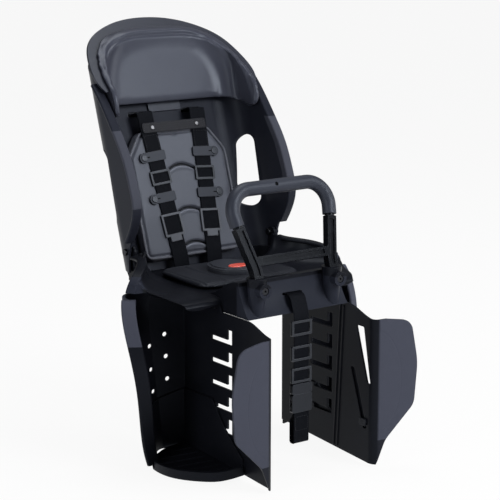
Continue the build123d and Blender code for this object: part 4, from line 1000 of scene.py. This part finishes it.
floor_mesh = bmesh.new()
bmesh.ops.create_grid(floor_mesh, x_segments=1, y_segments=1, size=40.0)
bmesh.ops.translate(floor_mesh, vec=Vector((0, 0, cad_box[0][2] - 0.004)), verts=floor_mesh.verts)
ground_mesh = bpy.data.meshes.new("studio_floor")
floor_mesh.to_mesh(ground_mesh)
floor_mesh.free()
ground = bpy.data.objects.new("studio_floor", ground_mesh)
scene.collection.objects.link(ground)
paper = Finish("studio_paper")
rays = paper.node("ShaderNodeLightPath")
seen = (rays["Is Camera Ray"] + rays["Is Glossy Ray"] + rays["Is Transmission Ray"]).clamp()
matte = paper.node("ShaderNodeBsdfDiffuse", None, {"Color": (0.86, 0.86, 0.86, 1)})["BSDF"]
glow = paper.node("ShaderNodeEmission", None, {"Color": (1, 1, 1, 1), "Strength": 1.0})["Emission"]
blend = paper.node("ShaderNodeMixShader", None, {0: seen * 0.92, 1: matte, 2: glow})["Shader"]
paper.node("ShaderNodeOutputMaterial", None, {"Surface": blend})
ground_mesh.materials.append(paper.material)

air = Finish("studio_air", bpy.data.worlds)
haze = air.node("ShaderNodeBackground", None, {"Color": (0.96, 0.98, 1, 1), "Strength": 0.16})["Background"]
air.node("ShaderNodeOutputWorld", None, {"Surface": haze})
scene.world = air.material


def softbox(name, place, aim, size, power):
    """Area lamp at a place, turned to an aim."""
    lamp = bpy.data.lights.new(name, "AREA")
    lamp.shape = "RECTANGLE"
    lamp.size, lamp.size_y = size
    lamp.energy = power
    thing = bpy.data.objects.new(name, lamp)
    thing.location = place
    thing.rotation_euler = (Vector(aim) - Vector(place)).to_track_quat("-Z", "Y").to_euler()
    scene.collection.objects.link(thing)


softbox("key_box", (0.9, -2.6, 1.7), (0, 0, 0.1), (1.4, 1.4), 70)
softbox("top_box", (0.3, 0.3, 2.4), (0, 0.1, 0.1), (1.4, 1.4), 26)
softbox("side_box", (2.3, -1.2, 0.9), (0, 0, 0.05), (0.8, 1.6), 14)
softbox("fill_box", (-2.3, -0.5, 0.8), (0.1, 0.1, 0.15), (1.0, 1.4), 14)

camera_data = bpy.data.cameras.new("photo_camera")
camera_data.sensor_width = 36
camera_data.lens = 126
camera = bpy.data.objects.new("photo_camera", camera_data)
camera.location = (-1.6776, -2.3539, 0.6905)
target = Vector((0.150, 0.1616, 0.0239))
camera.rotation_euler = (target - camera.location).to_track_quat("-Z", "Y").to_euler()
scene.collection.objects.link(camera)
scene.camera = camera
